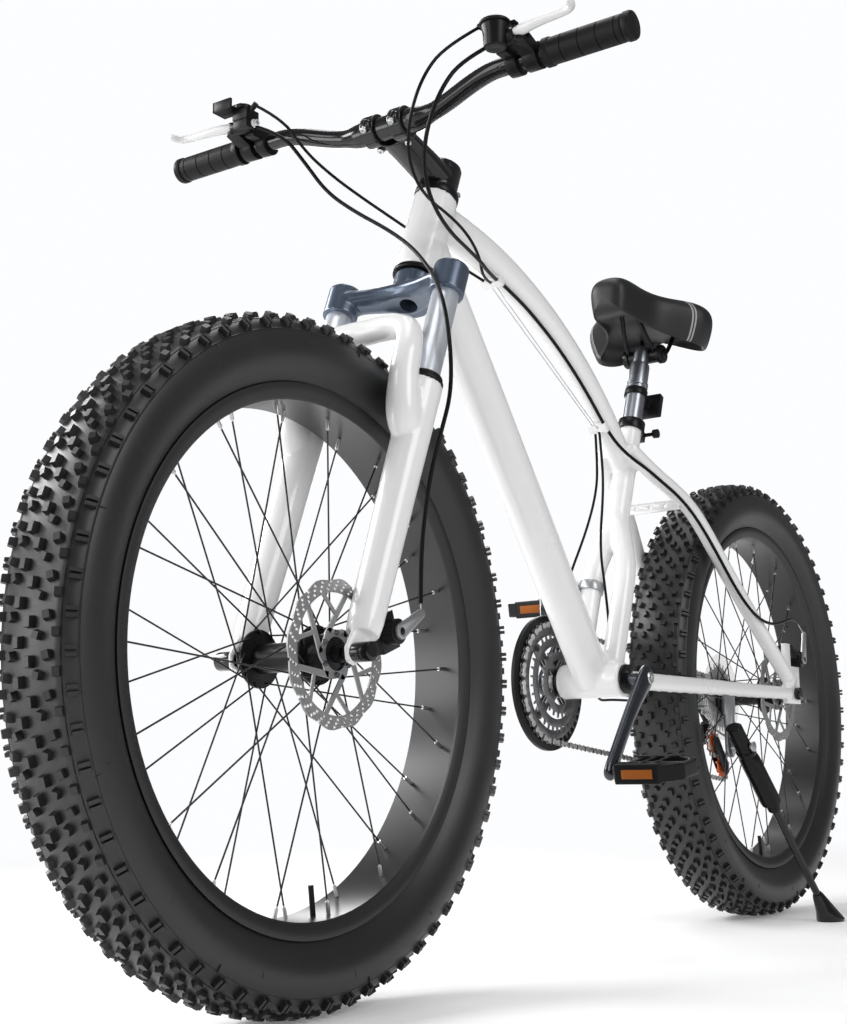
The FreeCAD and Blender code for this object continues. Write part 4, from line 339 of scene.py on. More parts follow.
def sweep(name, stations, count):
    # Joins ovals of (centre, across, up, half width, half height) into one closed tube.
    # The centres are places in metres, and the half sizes are millimetres.
    points = []
    for centre, across, up, half_width, half_height in stations:
        wide, high = half_width * MM, half_height * MM
        for turn in range(count):
            angle = 2 * math.pi * turn / count
            points.append(centre + (across * (wide * math.cos(angle)) + up * (high * math.sin(angle))))
    return mesh_from(name, points, loop_faces(len(stations), count))


def round_sweep(name, line, radii, count):
    # A round tube along a line of points, with a radius for each point.
    stations = []
    across = None
    for index, point in enumerate(line):
        before = line[max(index - 1, 0)]
        after = line[min(index + 1, len(line) - 1)]
        way = (after - before).normalized()
        if across is None:
            across = way.orthogonal().normalized()
        across = (across - way * across.dot(way)).normalized()
        stations.append((point, across, way.cross(across), radii[index], radii[index]))
    return sweep(name, stations, count)


def tube(name, line, radius, count):
    return round_sweep(name, line, [radius] * len(line), count)


# %% [markdown]
# ## Baking
# Every modifier is carried out at once, so that each piece ends as one plain mesh.

# %% Baking modifiers


def evaluated(made):
    # The object's mesh with its modifiers carried out, as a plain new mesh.
    bpy.context.view_layer.update()
    graph = bpy.context.evaluated_depsgraph_get()
    return bpy.data.meshes.new_from_object(made.evaluated_get(graph))


def baked(made):
    mesh = evaluated(made)
    made.modifiers.clear()
    made.data = mesh
    return made


def joined(name, meshes):
    shape = bmesh.new()
    for mesh in meshes:
        shape.from_mesh(mesh)
    result = bpy.data.meshes.new(name)
    shape.to_mesh(result)
    shape.free()
    return result


def melted(name, meshes, voxel, passes):
    # One skin round all the closed meshes, with its corners softened.
    made = new_object(name, joined(name, meshes))
    remesh = made.modifiers.new("skin", "REMESH")
    remesh.mode = "VOXEL"
    remesh.voxel_size = voxel * MM
    soften = made.modifiers.new("soften", "SMOOTH")
    soften.factor = 0.5
    soften.iterations = passes
    baked(made)
    all_smooth(made.data)
    return made


# %% [markdown]
# ## Smooth lines
# Bent tubes and cables have no corners. Their curves could be drawn by hand in the viewport, but
# a spline through a short list of points keeps each route readable, and it can be swept.

# %% Smooth lines


def flowing(rows, detail):
    # Rows of numbers with a smooth curve through each column.
    result = []
    for index in range(len(rows) - 1):
        before_row, after_row = rows[max(index - 1, 0)], rows[min(index + 2, len(rows) - 1)]
        columns = list(zip(before_row, rows[index], rows[index + 1], after_row))
        for step in range(detail):
            share = step / detail
            row = []
            for before, start, end, after in columns:
                bend = 2 * before - 5 * start + 4 * end - after + share * (3 * (start - end) + after - before)
                row.append(start + 0.5 * share * (end - before + share * bend))
            result.append(tuple(row))
    result.append(rows[-1])
    return result


def routed_line(points, detail):
    # Points read from a smooth spline whose control points are the route.
    curve = bpy.data.curves.new("route", "CURVE")
    curve.dimensions = "3D"
    curve.resolution_u = detail
    spline = curve.splines.new("NURBS")
    spline.points.add(len(points) - 1)
    for control, place in zip(spline.points, points):
        control.co = (place[0], place[1], place[2], 1.0)
    spline.order_u = 3
    spline.use_endpoint_u = True
    holder = new_object("route", curve)
    mesh = evaluated(holder)
    line = [vertex.co.copy() for vertex in mesh.vertices]
    bpy.data.objects.remove(holder)
    return line


# %% [markdown]
# ## Pieces on their bodies
# A finished piece rides on one body of the model, and may stand in for engineered parts.

# %% Pieces on their bodies


def finished(made, body, *replaced, slot=None):
    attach(made, body)
    if replaced:
        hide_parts(*replaced)
    return made


def painted(made, material):
    made.data.materials.clear()
    made.data.materials.append(material)
    return made


def placed(name, meshes, degrees, material, body, *replaced, slot=None):
    # Meshes as one piece of one material, smooth but for its sharp edges, that rides on a body.
    made = painted(new_object(name, smooth(joined(name, meshes), degrees)), material)
    return finished(made, body, *replaced, slot=slot)


def carved(made, tool):
    # Takes a closed mesh away from the object.
    cutter = new_object("cutter", tool)
    cut = made.modifiers.new("cut", "BOOLEAN")
    cut.operation = "DIFFERENCE"
    cut.solver = "EXACT"
    cut.object = cutter
    baked(made)
    bpy.data.objects.remove(cutter)
    return made


def round_edges(made, width):
    # A small bevel on every edge that is sharper than the limit.
    bevel = made.modifiers.new("edges", "BEVEL")
    bevel.width = width * MM
    bevel.segments = 2
    bevel.limit_method = "ANGLE"
    bevel.angle_limit = math.radians(32)
    baked(made)
    smooth(made.data, 38)
    return made


def bevelled(name, meshes, width, material):
    return painted(round_edges(new_object(name, joined(name, meshes)), width), material)


# %% [markdown]
# ## Geometry node trees
# What repeats is laid out by a geometry node tree. A tree has named inputs, and its result is
# read back as a plain mesh.

# %% Geometry node trees


def new_tree(name, inputs):
    # A geometry node tree with (name, kind) inputs, and a function that reads one of them.
    tree = bpy.data.node_groups.new(name, "GeometryNodeTree")
    for label, kind in inputs:
        tree.interface.new_socket(label, in_out="INPUT", socket_type="NodeSocket" + kind)
    tree.interface.new_socket("Geometry", in_out="OUTPUT", socket_type="NodeSocketGeometry")
    graph = Graph(tree)
    entry = tree.nodes.new("NodeGroupInput")

    def given(label):
        return Value(graph, entry.outputs[label])

    return graph, given


def close_tree(graph, geometry, material):
    sockets = {"Geometry": geometry, "Material": material}
    geometry = graph.node("GeometryNodeSetMaterial", None, sockets)
    leave = graph.tree.nodes.new("NodeGroupOutput")
    graph.feed(leave.inputs["Geometry"], geometry)
    return graph.tree


def grown(tree, mesh, values):
    # The plain mesh that a tree makes from a mesh and its named values.
    holder = new_object("holder", mesh)
    modifier = holder.modifiers.new("tree", "NODES")
    modifier.node_group = tree
    for item in tree.interface.items_tree:
        if item.in_out == "INPUT" and item.name in values:
            modifier[item.identifier] = values[item.name]
    result = evaluated(holder)
    bpy.data.objects.remove(holder)
    return result


# %% [markdown]
# ## Finishes
# Most pieces are painted metal, plated metal, moulded plastic or rubber. They share one recipe:
# a soft noise varies the colour and the gloss, and a finer noise lifts the surface a little.
# What differs is how glossy, how metallic and how grainy each one is.

# %% Finish recipe


def material_graph(name):
    material = bpy.data.materials.new(name)
    material.use_nodes = True
    material.node_tree.nodes.clear()
    return material, Graph(material.node_tree)


def object_place(graph, centre=None):
    place = graph.node("ShaderNodeTexCoord", out="Object")
    if centre is None:
        return place
    return graph.node("ShaderNodeMapping", None, {"Vector": place, "Location": tuple(-centre)})


def noise(graph, place, scale, detail=3.0, roughness=0.55):
    sockets = {"Vector": place, "Scale": scale, "Detail": detail, "Roughness": roughness}
    return graph.node("ShaderNodeTexNoise", {"noise_dimensions": "3D"}, sockets)


def shade(colour, share):
    return rgba([min(1.0, channel * share) for channel in colour])


def close_surface(material, graph, sockets, height=None, lift=0.2, depth=0.1 * MM):
    if height is not None:
        bump = {"Height": height, "Strength": lift, "Distance": depth}
        sockets["Normal"] = graph.node("ShaderNodeBump", None, bump)
    surface = graph.node("ShaderNodeBsdfPrincipled", None, sockets)
    graph.node("ShaderNodeOutputMaterial", None, {"Surface": surface})
    return material


def finish(name, colour, gloss, metal=0.0, coat=0.0, patch=30.0, grain=900.0, lift=0.12,
           spread=0.1, depth=0.1, shine=0.5):
    material, graph = material_graph(name)
    place = object_place(graph)
    patches = noise(graph, place, patch)
    fine = noise(graph, place, grain, 2.0)
    tint = graph.mix_colour(patches, shade(colour, 1 - spread), shade(colour, 1 + spread))
    roughness = patches * 0.12 + fine * 0.06 + (gloss - 0.09)
    sockets = {"Base Color": tint, "Roughness": roughness, "Metallic": metal}
    sockets.update({"Coat Weight": coat, "Coat Roughness": 0.06, "Specular IOR Level": shine})
    return close_surface(material, graph, sockets, fine, lift, depth * MM)


# %% [markdown]
# This list is the bicycle's paint shop. Image textures would need unwrapping and would show
# their seams, so each finish is a few numbers: colour, gloss, metal, clear coat and grain.

# %% Finishes
white_paint = finish("white_paint", (0.8, 0.8, 0.795), 0.3, coat=0.6, patch=8, grain=260, lift=0.05,
                     spread=0.015)
lever_white = finish("lever_white", (0.66, 0.66, 0.66), 0.35, coat=0.4, grain=500, lift=0.06, spread=0.02)
slate_paint = finish("slate_paint", (0.085, 0.11, 0.155), 0.3, metal=0.6, coat=0.3, grain=700, lift=0.02)
black_paint = finish("black_paint", (0.006, 0.006, 0.007), 0.2, coat=0.5, grain=400, lift=0.02, shine=0.2)
satin_black = finish("satin_black", (0.006, 0.006, 0.007), 0.28, grain=1400, lift=0.05, shine=0.2)
black_plastic = finish("black_plastic", (0.006, 0.006, 0.0065), 0.34, grain=1800, lift=0.1, shine=0.18)
grip_rubber = finish("grip_rubber", (0.006, 0.006, 0.0065), 0.46, grain=2200, lift=0.4, depth=0.2, shine=0.18)
seal_rubber = finish("seal_rubber", (0.005, 0.005, 0.0055), 0.5, grain=1500, lift=0.2, shine=0.25)
chrome = finish("chrome", (0.7, 0.73, 0.78), 0.36, metal=0.7, patch=12, grain=600, lift=0.0, spread=0.05)
dark_chrome = finish("dark_chrome", (0.26, 0.27, 0.3), 0.2, metal=1.0, patch=14, grain=600, lift=0.03)
post_alloy = finish("post_alloy", (0.4, 0.42, 0.46), 0.3, metal=1.0, patch=14, grain=600, lift=0.0)
grey_steel = finish("grey_steel", (0.42, 0.43, 0.44), 0.38, metal=0.9, grain=1600, lift=0.12)
pale_steel = finish("pale_steel", (0.62, 0.63, 0.64), 0.28, metal=1.0, grain=1600, lift=0.08)
chain_steel = finish("chain_steel", (0.62, 0.62, 0.61), 0.36, metal=0.8, grain=1600, lift=0.12)
# Painted shade: the narrow links are dark to stand for the shade in the gaps between bright plates.
chain_gap_shade = finish("chain_gap_shade", (0.06, 0.06, 0.06), 0.4, metal=0.6, grain=1600, lift=0.12)
crank_alloy = finish("crank_alloy", (0.05, 0.056, 0.066), 0.26, metal=0.8, coat=0.3, grain=300, lift=0.0)
ring_steel = finish("ring_steel", (0.2, 0.2, 0.205), 0.34, metal=0.85, grain=1600, lift=0.08)
jockey_orange = finish("jockey_orange", (0.72, 0.12, 0.02), 0.35, coat=0.2, grain=1200, lift=0.1)
cable_black = finish("cable_black", (0.003, 0.003, 0.0035), 0.34, grain=2500, lift=0.0, shine=0.15)
print("finishes", len(bpy.data.materials))

# %% [markdown]
# ## Cables
# Brake and gear cables are springy housings, so each follows one smooth spline whose control
# points are the route in the engineered model. The cables of the bar and the fork cross the steering.

# %% Cable routes
front_brake_route = (
    (478, -187, 1076), (464, -147, 1060), (444, -124, 1020), (431, -99, 978), (419, -61, 946),
    (413, -20, 918), (419, 20, 886), (435, 54, 852), (454, 84, 816), (470, 106, 774),
    (472, 114, 725), (465, 109, 674), (476, 101, 626), (489, 95, 577), (497, 91, 527),
    (502, 89, 477), (503, 89, 430),
)
right_shift_route = (
    (487, -173, 1097), (472, -137, 1073), (453, -118, 1032), (427, -94, 1001), (392, -73, 978),
    (350, -59, 962), (306, -49, 949), (262, -38, 934), (228, -22, 916), (196, -9, 904),
)
left_shift_route = (
    (487, 173, 1097), (514, 141, 1071), (536, 124, 1031), (531, 101, 989), (501, 77, 960),
    (459, 60, 943), (412, 48, 938), (363, 43, 936), (315, 38, 928), (269, 28, 912),
    (232, 9, 895), (196, 0, 901),
)
left_brake_route = (
    (480, 187, 1075), (501, 155, 1055), (521, 138, 1016), (522, 119, 974), (492, 93, 948),
    (454, 74, 928), (410, 60, 915), (364, 49, 908), (318, 40, 906), (271, 31, 903),
    (232, 19, 901), (196, 9, 903),
)
rear_brake_route = (
    (190, 9, 903), (138, 9, 890), (94, 9, 874), (52, 9, 856), (11, 9, 835), (-29, 9, 811),
    (-67, 9, 785), (-103, 10, 755), (-126, 18, 730), (-150, 30, 711), (-180, 39, 699),
    (-214, 48, 682), (-249, 57, 665), (-281, 64, 644), (-310, 70, 618), (-338, 75, 590),
    (-364, 80, 561), (-391, 85, 532), (-420, 90, 507), (-452, 95, 488), (-485, 100, 480),
    (-523, 103, 482), (-562, 102, 491), (-601, 98, 497), (-637, 93, 492),
)
front_mech_route = (
    (-108, -9, 750), (-113, -11, 725), (-123, -16, 702), (-140, -26, 679), (-150, -38, 650),
    (-145, -48, 613), (-129, -54, 577), (-112, -57, 549), (-101, -58, 530),
)
rear_mech_route = (
    (-103, 0, 750), (-104, 2, 715), (-103, 4, 675), (-98, 4, 635), (-93, 2, 595), (-95, 0, 558),
    (-103, 0, 520), (-110, 0, 482), (-116, -1, 446), (-123, -9, 412), (-133, -26, 380),
    (-148, -42, 357), (-174, -51, 350), (-217, -57, 353), (-270, -61, 354), (-330, -66, 355),
    (-390, -71, 354), (-450, -76, 355), (-508, -81, 353), (-556, -89, 347), (-600, -101, 345),
    (-640, -108, 356), (-684, -110, 372), (-726, -108, 376), (-758, -103, 360), (-768, -97, 330),
    (-750, -91, 306), (-715, -85, 303), (-676, -82, 313),
)
bare_wire_ends = (((186, -6, 899), (-98, -6, 754)), ((186, 2, 897), (-97, 1, 751)))
brake_cable_radius = 2.5
shift_cable_radius = 2.0
bare_wire_radius = 0.8


def cable_mesh(name, route, radius):
    line = routed_line([Vector(point) * MM for point in route], 6)
    return smooth(tube(name, line, radius, 12), 60)


def bare_wire_mesh(name, ends):
    line = [Vector(ends[0]) * MM, Vector(ends[1]) * MM]
    return smooth(tube(name, line, bare_wire_radius, 8), 60)


# %% [markdown]
# A cable that crosses a joint bends when the joint turns. Those on the bar and the fork are only
# made where they rest.

# %% Cables on their bodies
steer_cables = joined("bar_cables", [
    cable_mesh("left_brake", left_brake_route, brake_cable_radius),
    cable_mesh("left_shift", left_shift_route, shift_cable_radius),
    cable_mesh("right_shift", right_shift_route, shift_cable_radius),
])
bar_cables = painted(new_object("bar_cables", smooth(steer_cables, 60)), cable_black)
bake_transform(bar_cables)
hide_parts("handlebar_cables")
fork_line = cable_mesh("fork_cable", front_brake_route, brake_cable_radius)
fork_cable = painted(new_object("fork_cable", fork_line), cable_black)
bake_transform(fork_cable)
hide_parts("front_brake_cable")
frame_cables = placed("tube_cables", [
    cable_mesh("rear_brake", rear_brake_route, brake_cable_radius),
    cable_mesh("front_mech", front_mech_route, shift_cable_radius),
    cable_mesh("rear_mech", rear_mech_route, shift_cable_radius),
], 60, cable_black, "frame", "frame_cables", slot="cable_skin")
bare_wires = [bare_wire_mesh("bare_wire", ends) for ends in bare_wire_ends]
placed("bare_wires", bare_wires, 60, pale_steel, "frame")
brake_wires = (
    ("rear_brake", "frame", (-637, 93, 492), (-671, 91, 475)),
    ("front_brake", "fork_slider", (503, 89, 430), (503, 89.5, 419)),
)
for name, holder, first, last in brake_wires:
    wire = bare_wire_mesh(name + "_wire", (first, last))
    wire = painted(new_object(name + "_wire", wire), pale_steel)
    tuple(Vector(first) * MM)
    tuple(Vector(last) * MM)
    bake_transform(wire)
print("cables", len(bar_cables.data.polygons) + len(frame_cables.data.polygons))

# %% [markdown]
# ## Tires
# A fat tire is a smooth carcass with rows of small rubber blocks. The carcass is a lathe, with
# fine raised rings beside the tread. The blocks repeat round the wheel, so one geometry node
# tree makes a row from a count, a block size and a lean, and the rows are laid side by side.

# %% A tree that repeats a block round a wheel


def row_tree(round_block):
    kind = "round" if round_block else "square"
    lengths = ("Radius", "Side", "Lean", "Twist", "Phase", "Length", "Width", "Height", "Taper")
    inputs = [("Geometry", "Geometry"), ("Count", "Int")] + [(name, "Float") for name in lengths]
    inputs += [("Centre", "Vector"), ("Finish", "Material")]
    graph, given = new_tree(kind + "_block_row", inputs)
    if round_block:
        sockets = {"Vertices": 12, "Radius": given("Width") * 0.5, "Depth": given("Height")}
        block = graph.node("GeometryNodeMeshCylinder", None, sockets)
    else:
        size = graph.vector(given("Length"), given("Width"), given("Height"))
        block = graph.node("GeometryNodeMeshCube", None, {"Size": size})
    x, y, z = graph.split(graph.node("GeometryNodeInputPosition"))
    draw = 1.0 - (z > 0.0) * (1.0 - given("Taper"))
    drawn = graph.vector(x * draw, y * draw, z)
    block = graph.node("GeometryNodeSetPosition", None, {"Geometry": block, "Position": drawn})
    turn = graph.vector(given("Lean") * -1.0, 0.0, given("Twist"))
    seat = graph.vector(0.0, given("Side"), given("Radius"))
    sockets = {"Geometry": block, "Translation": seat, "Rotation": turn}
    block = graph.node("GeometryNodeTransform", None, sockets)
    points = graph.node("GeometryNodeMeshLine", None, {"Count": given("Count"), "Offset": (0.0, 0.0, 0.0)})
    step = given("Count").math("DIVIDE", 2 * math.pi, given("Count"))
    angle = graph.node("GeometryNodeInputIndex") * step + given("Phase")
    sockets = {"Points": points, "Instance": block, "Rotation": graph.vector(0.0, angle, 0.0)}
    ring = graph.node("GeometryNodeInstanceOnPoints", None, sockets)
    ring = graph.node("GeometryNodeRealizeInstances", None, {"Geometry": ring})
    sockets = {"Geometry": ring, "Translation": given("Centre")}
    ring = graph.node("GeometryNodeTransform", None, sockets)
    return close_tree(graph, ring, given("Finish"))


square_row = row_tree(False)
round_row = row_tree(True)


def block_row(tree, material, centre, **sizes):
    # One ring of blocks as a plain mesh. Sizes are in millimetres and angles in degrees.
    values = {"Centre": tuple(centre), "Finish": material, "Taper": sizes.pop("Taper", 1.0)}
    values["Count"] = sizes.pop("Count")
    for name in ("Lean", "Twist", "Phase"):
        values[name] = math.radians(sizes.pop(name, 0.0))
    values.update({name: size * MM for name, size in sizes.items()})
    return grown(tree, bpy.data.meshes.new("row"), values)


# %% Tire rubber


def tire_rubber(name, centre):
    material, graph = material_graph(name)
    place = object_place(graph, centre)
    stains = noise(graph, place, 9.0)
    fine = noise(graph, place, 700.0, 2.0)
    tint = graph.mix_colour(stains, rgba((0.007, 0.007, 0.0075)), rgba((0.012, 0.012, 0.0125)))
    roughness = stains * 0.14 + fine * 0.08 + 0.3
    sockets = {"Base Color": tint, "Roughness": roughness, "Specular IOR Level": 0.55}
    return close_surface(material, graph, sockets, fine, 0.25, 0.1 * MM)


tire_radius = front_axle.z / MM
carcass_radius = tire_radius - 6.5
tire_half = 51.5
rim_radius = 291.0
bead_half = 34.0
ridge_radii = (346.0, 358.2)

# %% [markdown]
# The carcass is the smooth balloon under the tread. Its half section is a formula with one arc
# below the widest place and one above, so that few numbers tune how round it is.

# %% Tire carcass


def carcass_outline():
    # The right half of the section, from the rim edge up to the middle of the tread.
    half = []
    steps = 26
    bulge_radius = 327.0
    for step in range(steps + 1):
        share = step / steps
        angle = math.radians(-38 + share * 128)
        if angle <= 0:
            side = bead_half + (tire_half - bead_half) * math.cos(angle * 90 / 38) ** 0.8
            radius = bulge_radius + (bulge_radius - rim_radius) * angle / math.radians(38)
        else:
            side = 30.0 + (tire_half - 30.0) * math.cos(angle)
            radius = bulge_radius + (carcass_radius - 3 - bulge_radius) * math.sin(angle) ** 0.92
        half.append((radius, side))
    half.append((carcass_radius - 1.2, 20.0))
    half.append((carcass_radius - 0.3, 10.0))
    half.append((carcass_radius, 0.0))
    return half


def ridge(half, radius, lift, width):
    # Raises a fine ring on the outline where it crosses the given radius.
    result = []
    for (low_radius, low_side), (high_radius, high_side) in zip(half, half[1:]):
        result.append((low_radius, low_side))
        if low_radius <= radius < high_radius:
            share = (radius - low_radius) / (high_radius - low_radius)
            side = low_side + (high_side - low_side) * share
            result += [(radius - width, side), (radius - width * 0.4, side + lift)]
            result += [(radius + width * 0.4, side + lift * 0.8), (radius + width, side - 0.2)]
    result.append(half[-1])
    return result


def carcass(name, centre):
    half = carcass_outline()
    for radius in ridge_radii:
        half = ridge(half, radius, 0.45, 0.8)
    right = [(radius, -side) for radius, side in reversed(half[:-1])]
    inner = [(rim_radius - 6, -(bead_half - 2)), (rim_radius - 6, bead_half - 2)]
    return lathe(name, half + right + inner, centre, 160)


pitch_count = 66
knob_rows = (
    # radius from the crown, side, lean, twist, length, width, height, taper, phase share
    (-10.8, 45.2, 52, 0, 4.4, 12.0, 9.0, 0.84, -0.09),
    (-10.8, 45.2, 52, 0, 4.4, 12.0, 9.0, 0.84, 0.09),
    (-2.9, 35.8, 33, 0, 9.5, 8.0, 9.5, 0.8, 0.5),
    (-1.2, 26.4, 20, 16, 9.5, 8.5, 10.0, 0.78, 0.08),
    (0.2, 16.4, 9, -20, 9.0, 8.0, 10.0, 0.78, 0.56),
    (1.2, 6.6, 3, 0, 12.0, 8.5, 10.0, 0.8, 0.22),
)
hair_rows = (
    # count, radius, side, lean and phase of the moulding hairs on the side wall
    (14, 330, 51.2, 88, 7), (11, 309, 46.2, 108, 19), (9, 343, 50.2, 78, 31),
)

# %% [markdown]
# A tire mould repeats one short pitch round the wheel. Modelling each block by hand would take
# hours, so each row is one call of the tree, and its mirrored row is shifted by half a pitch.
# A few fine hairs, which a mould's vents leave, stand on the side walls.

# %% Tread blocks on both wheels


def knobs(name, centre, material):
    meshes = []
    for drop, side, lean, twist, length, width, height, taper, phase in knob_rows:
        for sign in (1, -1):
            shift = phase if sign > 0 else phase + 0.5
            meshes.append(block_row(
                square_row, material, centre, Count=pitch_count,
                Radius=carcass_radius + drop, Side=sign * side, Lean=sign * lean, Twist=sign * twist,
                Phase=shift * 360 / pitch_count, Length=length, Width=width, Height=height, Taper=taper,
            ))
    for sign in (1, -1):
        for count, radius, side, lean, phase in hair_rows:
            meshes.append(block_row(
                square_row, material, centre, Count=count, Radius=radius, Side=sign * side, Lean=sign * lean,
                Twist=24, Phase=phase * sign, Length=0.9, Width=9.0, Height=1.4, Taper=0.6,
            ))
    return painted(new_object(name, joined(name, meshes)), material)


wheel_bodies = (("front", front_axle), ("rear", rear_axle))
for end, centre in wheel_bodies:
    rubber = tire_rubber(end + "_tire_rubber", centre)
    skin = carcass(end + "_tire_carcass", centre)
    tire = placed(
        end + "_tire_carcass", [skin], 40, rubber, end + "_wheel", end + "_tire", slot="tyre_rubber"
    )
    tread = knobs(end + "_tread_blocks", centre, rubber)
    finished(tread, end + "_wheel", slot="tyre_rubber")
    print(end, "tire", len(tire.data.polygons), "tread", len(tread.data.polygons))


# %% [markdown]
# ## Rims and spokes
# The rim is one wide rolled band, glossy inside and matt on its two side walls. A lathe gives it
# the rolled edge, and its finish reads how far to the side a point lies. The spokes are black
# wires with bright nipples, so their finish reads how far from the axle a point lies.

# %% Rims and spokes
rim_half = 37.0
rim_bed = 273.0
rim_outline = (
    (rim_radius, rim_half), (rim_radius - 3, rim_half + 0.8), (rim_radius - 8, rim_half),
    (rim_bed + 3, rim_half - 3), (rim_bed, rim_half - 5.5), (rim_bed, 0.0), (rim_bed, -rim_half + 5.5),
    (rim_bed + 3, -rim_half + 3), (rim_radius - 8, -rim_half), (rim_radius - 3, -rim_half - 0.8),
    (rim_radius, -rim_half), (rim_radius, -rim_half + 2.5), (rim_bed + 3, -rim_half + 7.5),
    (rim_bed + 3, rim_half - 7.5), (rim_radius, rim_half - 2.5),
)
nipple_start = 258.5


def rim_paint():
    material, graph = material_graph("rim_paint")
    place = object_place(graph)
    side = graph.split(place)[1]
    wall = side.math("ABSOLUTE", side, 0.0) > (rim_half - 4) * MM
    fine = noise(graph, place, 900.0, 2.0)
    tint = graph.mix_colour(wall, rgba((0.012, 0.012, 0.013)), rgba((0.004, 0.004, 0.0045)))
    sockets = {"Base Color": tint, "Roughness": wall * 0.2 + fine * 0.06 + 0.27, "Specular IOR Level": 0.6}
    return close_surface(material, graph, sockets, fine, 0.05)


def spoke_wire(name, centre):
    material, graph = material_graph(name)
    place = object_place(graph, centre)
    along, side, height = graph.split(place)
    away = along * along + height * height
    tip = away > (nipple_start * MM) ** 2
    fine = noise(graph, place, 1500.0, 2.0)
    tint = graph.mix_colour(tip, rgba((0.015, 0.015, 0.016)), rgba((0.6, 0.6, 0.6)))
    sockets = {"Base Color": tint, "Roughness": fine * 0.1 + 0.3, "Metallic": tip * 0.7 + 0.3}
    return close_surface(material, graph, sockets, fine, 0.05)


def dress(node, material):
    painted(nodes[node], material)


rim_finish = rim_paint()
for end, centre in wheel_bodies:
    band = lathe(end + "_rim_band", rim_outline, centre, 144)
    placed(end + "_rim_band", [band], 50, rim_finish, end + "_wheel", end + "_rim", slot="black_paint")
    dress(end + "_spokes", spoke_wire(end + "_spoke_wire", centre))
    dress(end + "_inner_tube", seal_rubber)
    print(end, "rim and spokes")


# %% [markdown]
# ## Brake rotors
# A rotor is a thin steel ring with a wavy rim, slanting rows of drilled holes and swept arms.
# The holes are cut from the ring as one set of drills, and the arms are flat bars laid on a
# slightly thinner sheet, so that no two faces lie on each other.

# %% Rotors
rotor_radius = 80.0
rotor_band = 15.5
rotor_thickness = 2.0
rotor_waves = 12
rotor_arm_count = 6
rotor_arms = (
    # start and end as (radius, degrees), their widths, and how much thinner than the sheet
    ((26, 0), (67, 46), 7.0, 6.0, 0.0), ((42, 29), (67, 10), 4.5, 5.0, 0.2),
)
spider_bore = 18.0
drill_rows = ((68.6, -1.9), (72.6, 0.4), (76.4, 2.6))
drills_per_row = 36
drill_width = 3.9


def flat_ring(name, outer, inner, centre, thickness, count):
    # A flat ring with a round inner edge, and an outer edge that is a function of the angle.
    points = []
    for turn in range(count):
        angle = 2 * math.pi * turn / count
        way = FORWARD * math.cos(angle) + UP * math.sin(angle)
        for radius, side in ((inner, -1), (outer(angle), -1), (outer(angle), 1), (inner, 1)):
            points.append(centre + way * (radius * MM) + LEFT * (side * thickness * MM / 2))
    return mesh_from(name, points, loop_faces(count, 4, closed=True))


def wavy(angle):
    return rotor_radius - 1.3 + 1.3 * math.sin(rotor_waves * angle)


def spider_edge(angle):
    return 27.0 + 2.2 * math.cos(rotor_arm_count * angle)


def flat_bar(centre, start, end, start_width, end_width, thickness):
    # A straight flat bar in the wheel's plane. Ends are (radius, degrees).
    ends = []
    for radius, degrees in (start, end):
        angle = math.radians(degrees)
        ends.append(centre + (FORWARD * math.cos(angle) + UP * math.sin(angle)) * (radius * MM))
    along = (ends[1] - ends[0]).normalized()
    across = along.cross(LEFT)
    points = []
    for place, width in ((ends[0], start_width), (ends[1], end_width)):
        for side, out in ((-1, -1), (-1, 1), (1, 1), (1, -1)):
            points.append(place + LEFT * (side * thickness * MM / 2) + across * (out * width * MM / 2))
    return mesh_from("bar", points, loop_faces(2, 4))


# %% [markdown]
# The disc is stamped and drilled from one sheet of steel. All the holes are cut by one boolean,
# which is far quicker than one for each hole, and the arms and the middle star are laid in.

# %% Rotor discs and bolts


def rotor(name, centre, material):
    band = flat_ring(name, wavy, rotor_radius - rotor_band, centre, rotor_thickness, 180)
    made = new_object(name, band)
    cutter_mesh = bpy.data.meshes.new("drills")
    shape = bmesh.new()
    for radius, shift in drill_rows:
        for index in range(drills_per_row):
            angle = math.radians(index * 360 / drills_per_row + shift)
            place = centre + (FORWARD * math.cos(angle) + UP * math.sin(angle)) * (radius * MM)
            pose = Matrix.Translation(place) @ Matrix.Rotation(math.pi / 2, 4, "X")
            bmesh.ops.create_cone(
                shape, cap_ends=True, segments=10, radius1=drill_width * MM / 2, radius2=drill_width * MM / 2,
                depth=3 * rotor_thickness * MM, matrix=pose,
            )
    shape.to_mesh(cutter_mesh)
    shape.free()
    carved(made, cutter_mesh)
    thin = rotor_thickness - 0.3
    meshes = [made.data, flat_ring("spider", spider_edge, spider_bore, centre, thin, 96)]
    for index in range(rotor_arm_count):
        turn = index * 360 / rotor_arm_count
        for start, end, start_width, end_width, thinner in rotor_arms:
            ends = (start[0], turn + start[1]), (end[0], turn + end[1])
            meshes.append(flat_bar(centre, *ends, start_width, end_width, thin - thinner))
    made.data = joined(name, meshes)
    smooth(made.data, 30)
    return painted(made, material)


def rotor_steel(name, centre):
    material, graph = material_graph(name)
    place = object_place(graph, centre)
    along, side, height = graph.split(place)
    away = along * along + height * height
    away = away.math("SQRT", away, 0.0)
    rings = noise(graph, graph.vector(away * 900.0), 1.0, 2.0)
    patches = noise(graph, place, 40.0)
    tint = graph.mix_colour(patches, rgba((0.3, 0.3, 0.3)), rgba((0.4, 0.4, 0.4)))
    sockets = {"Base Color": tint, "Roughness": rings * 0.16 + 0.32, "Metallic": 0.85}
    return close_surface(material, graph, sockets, rings, 0.15)


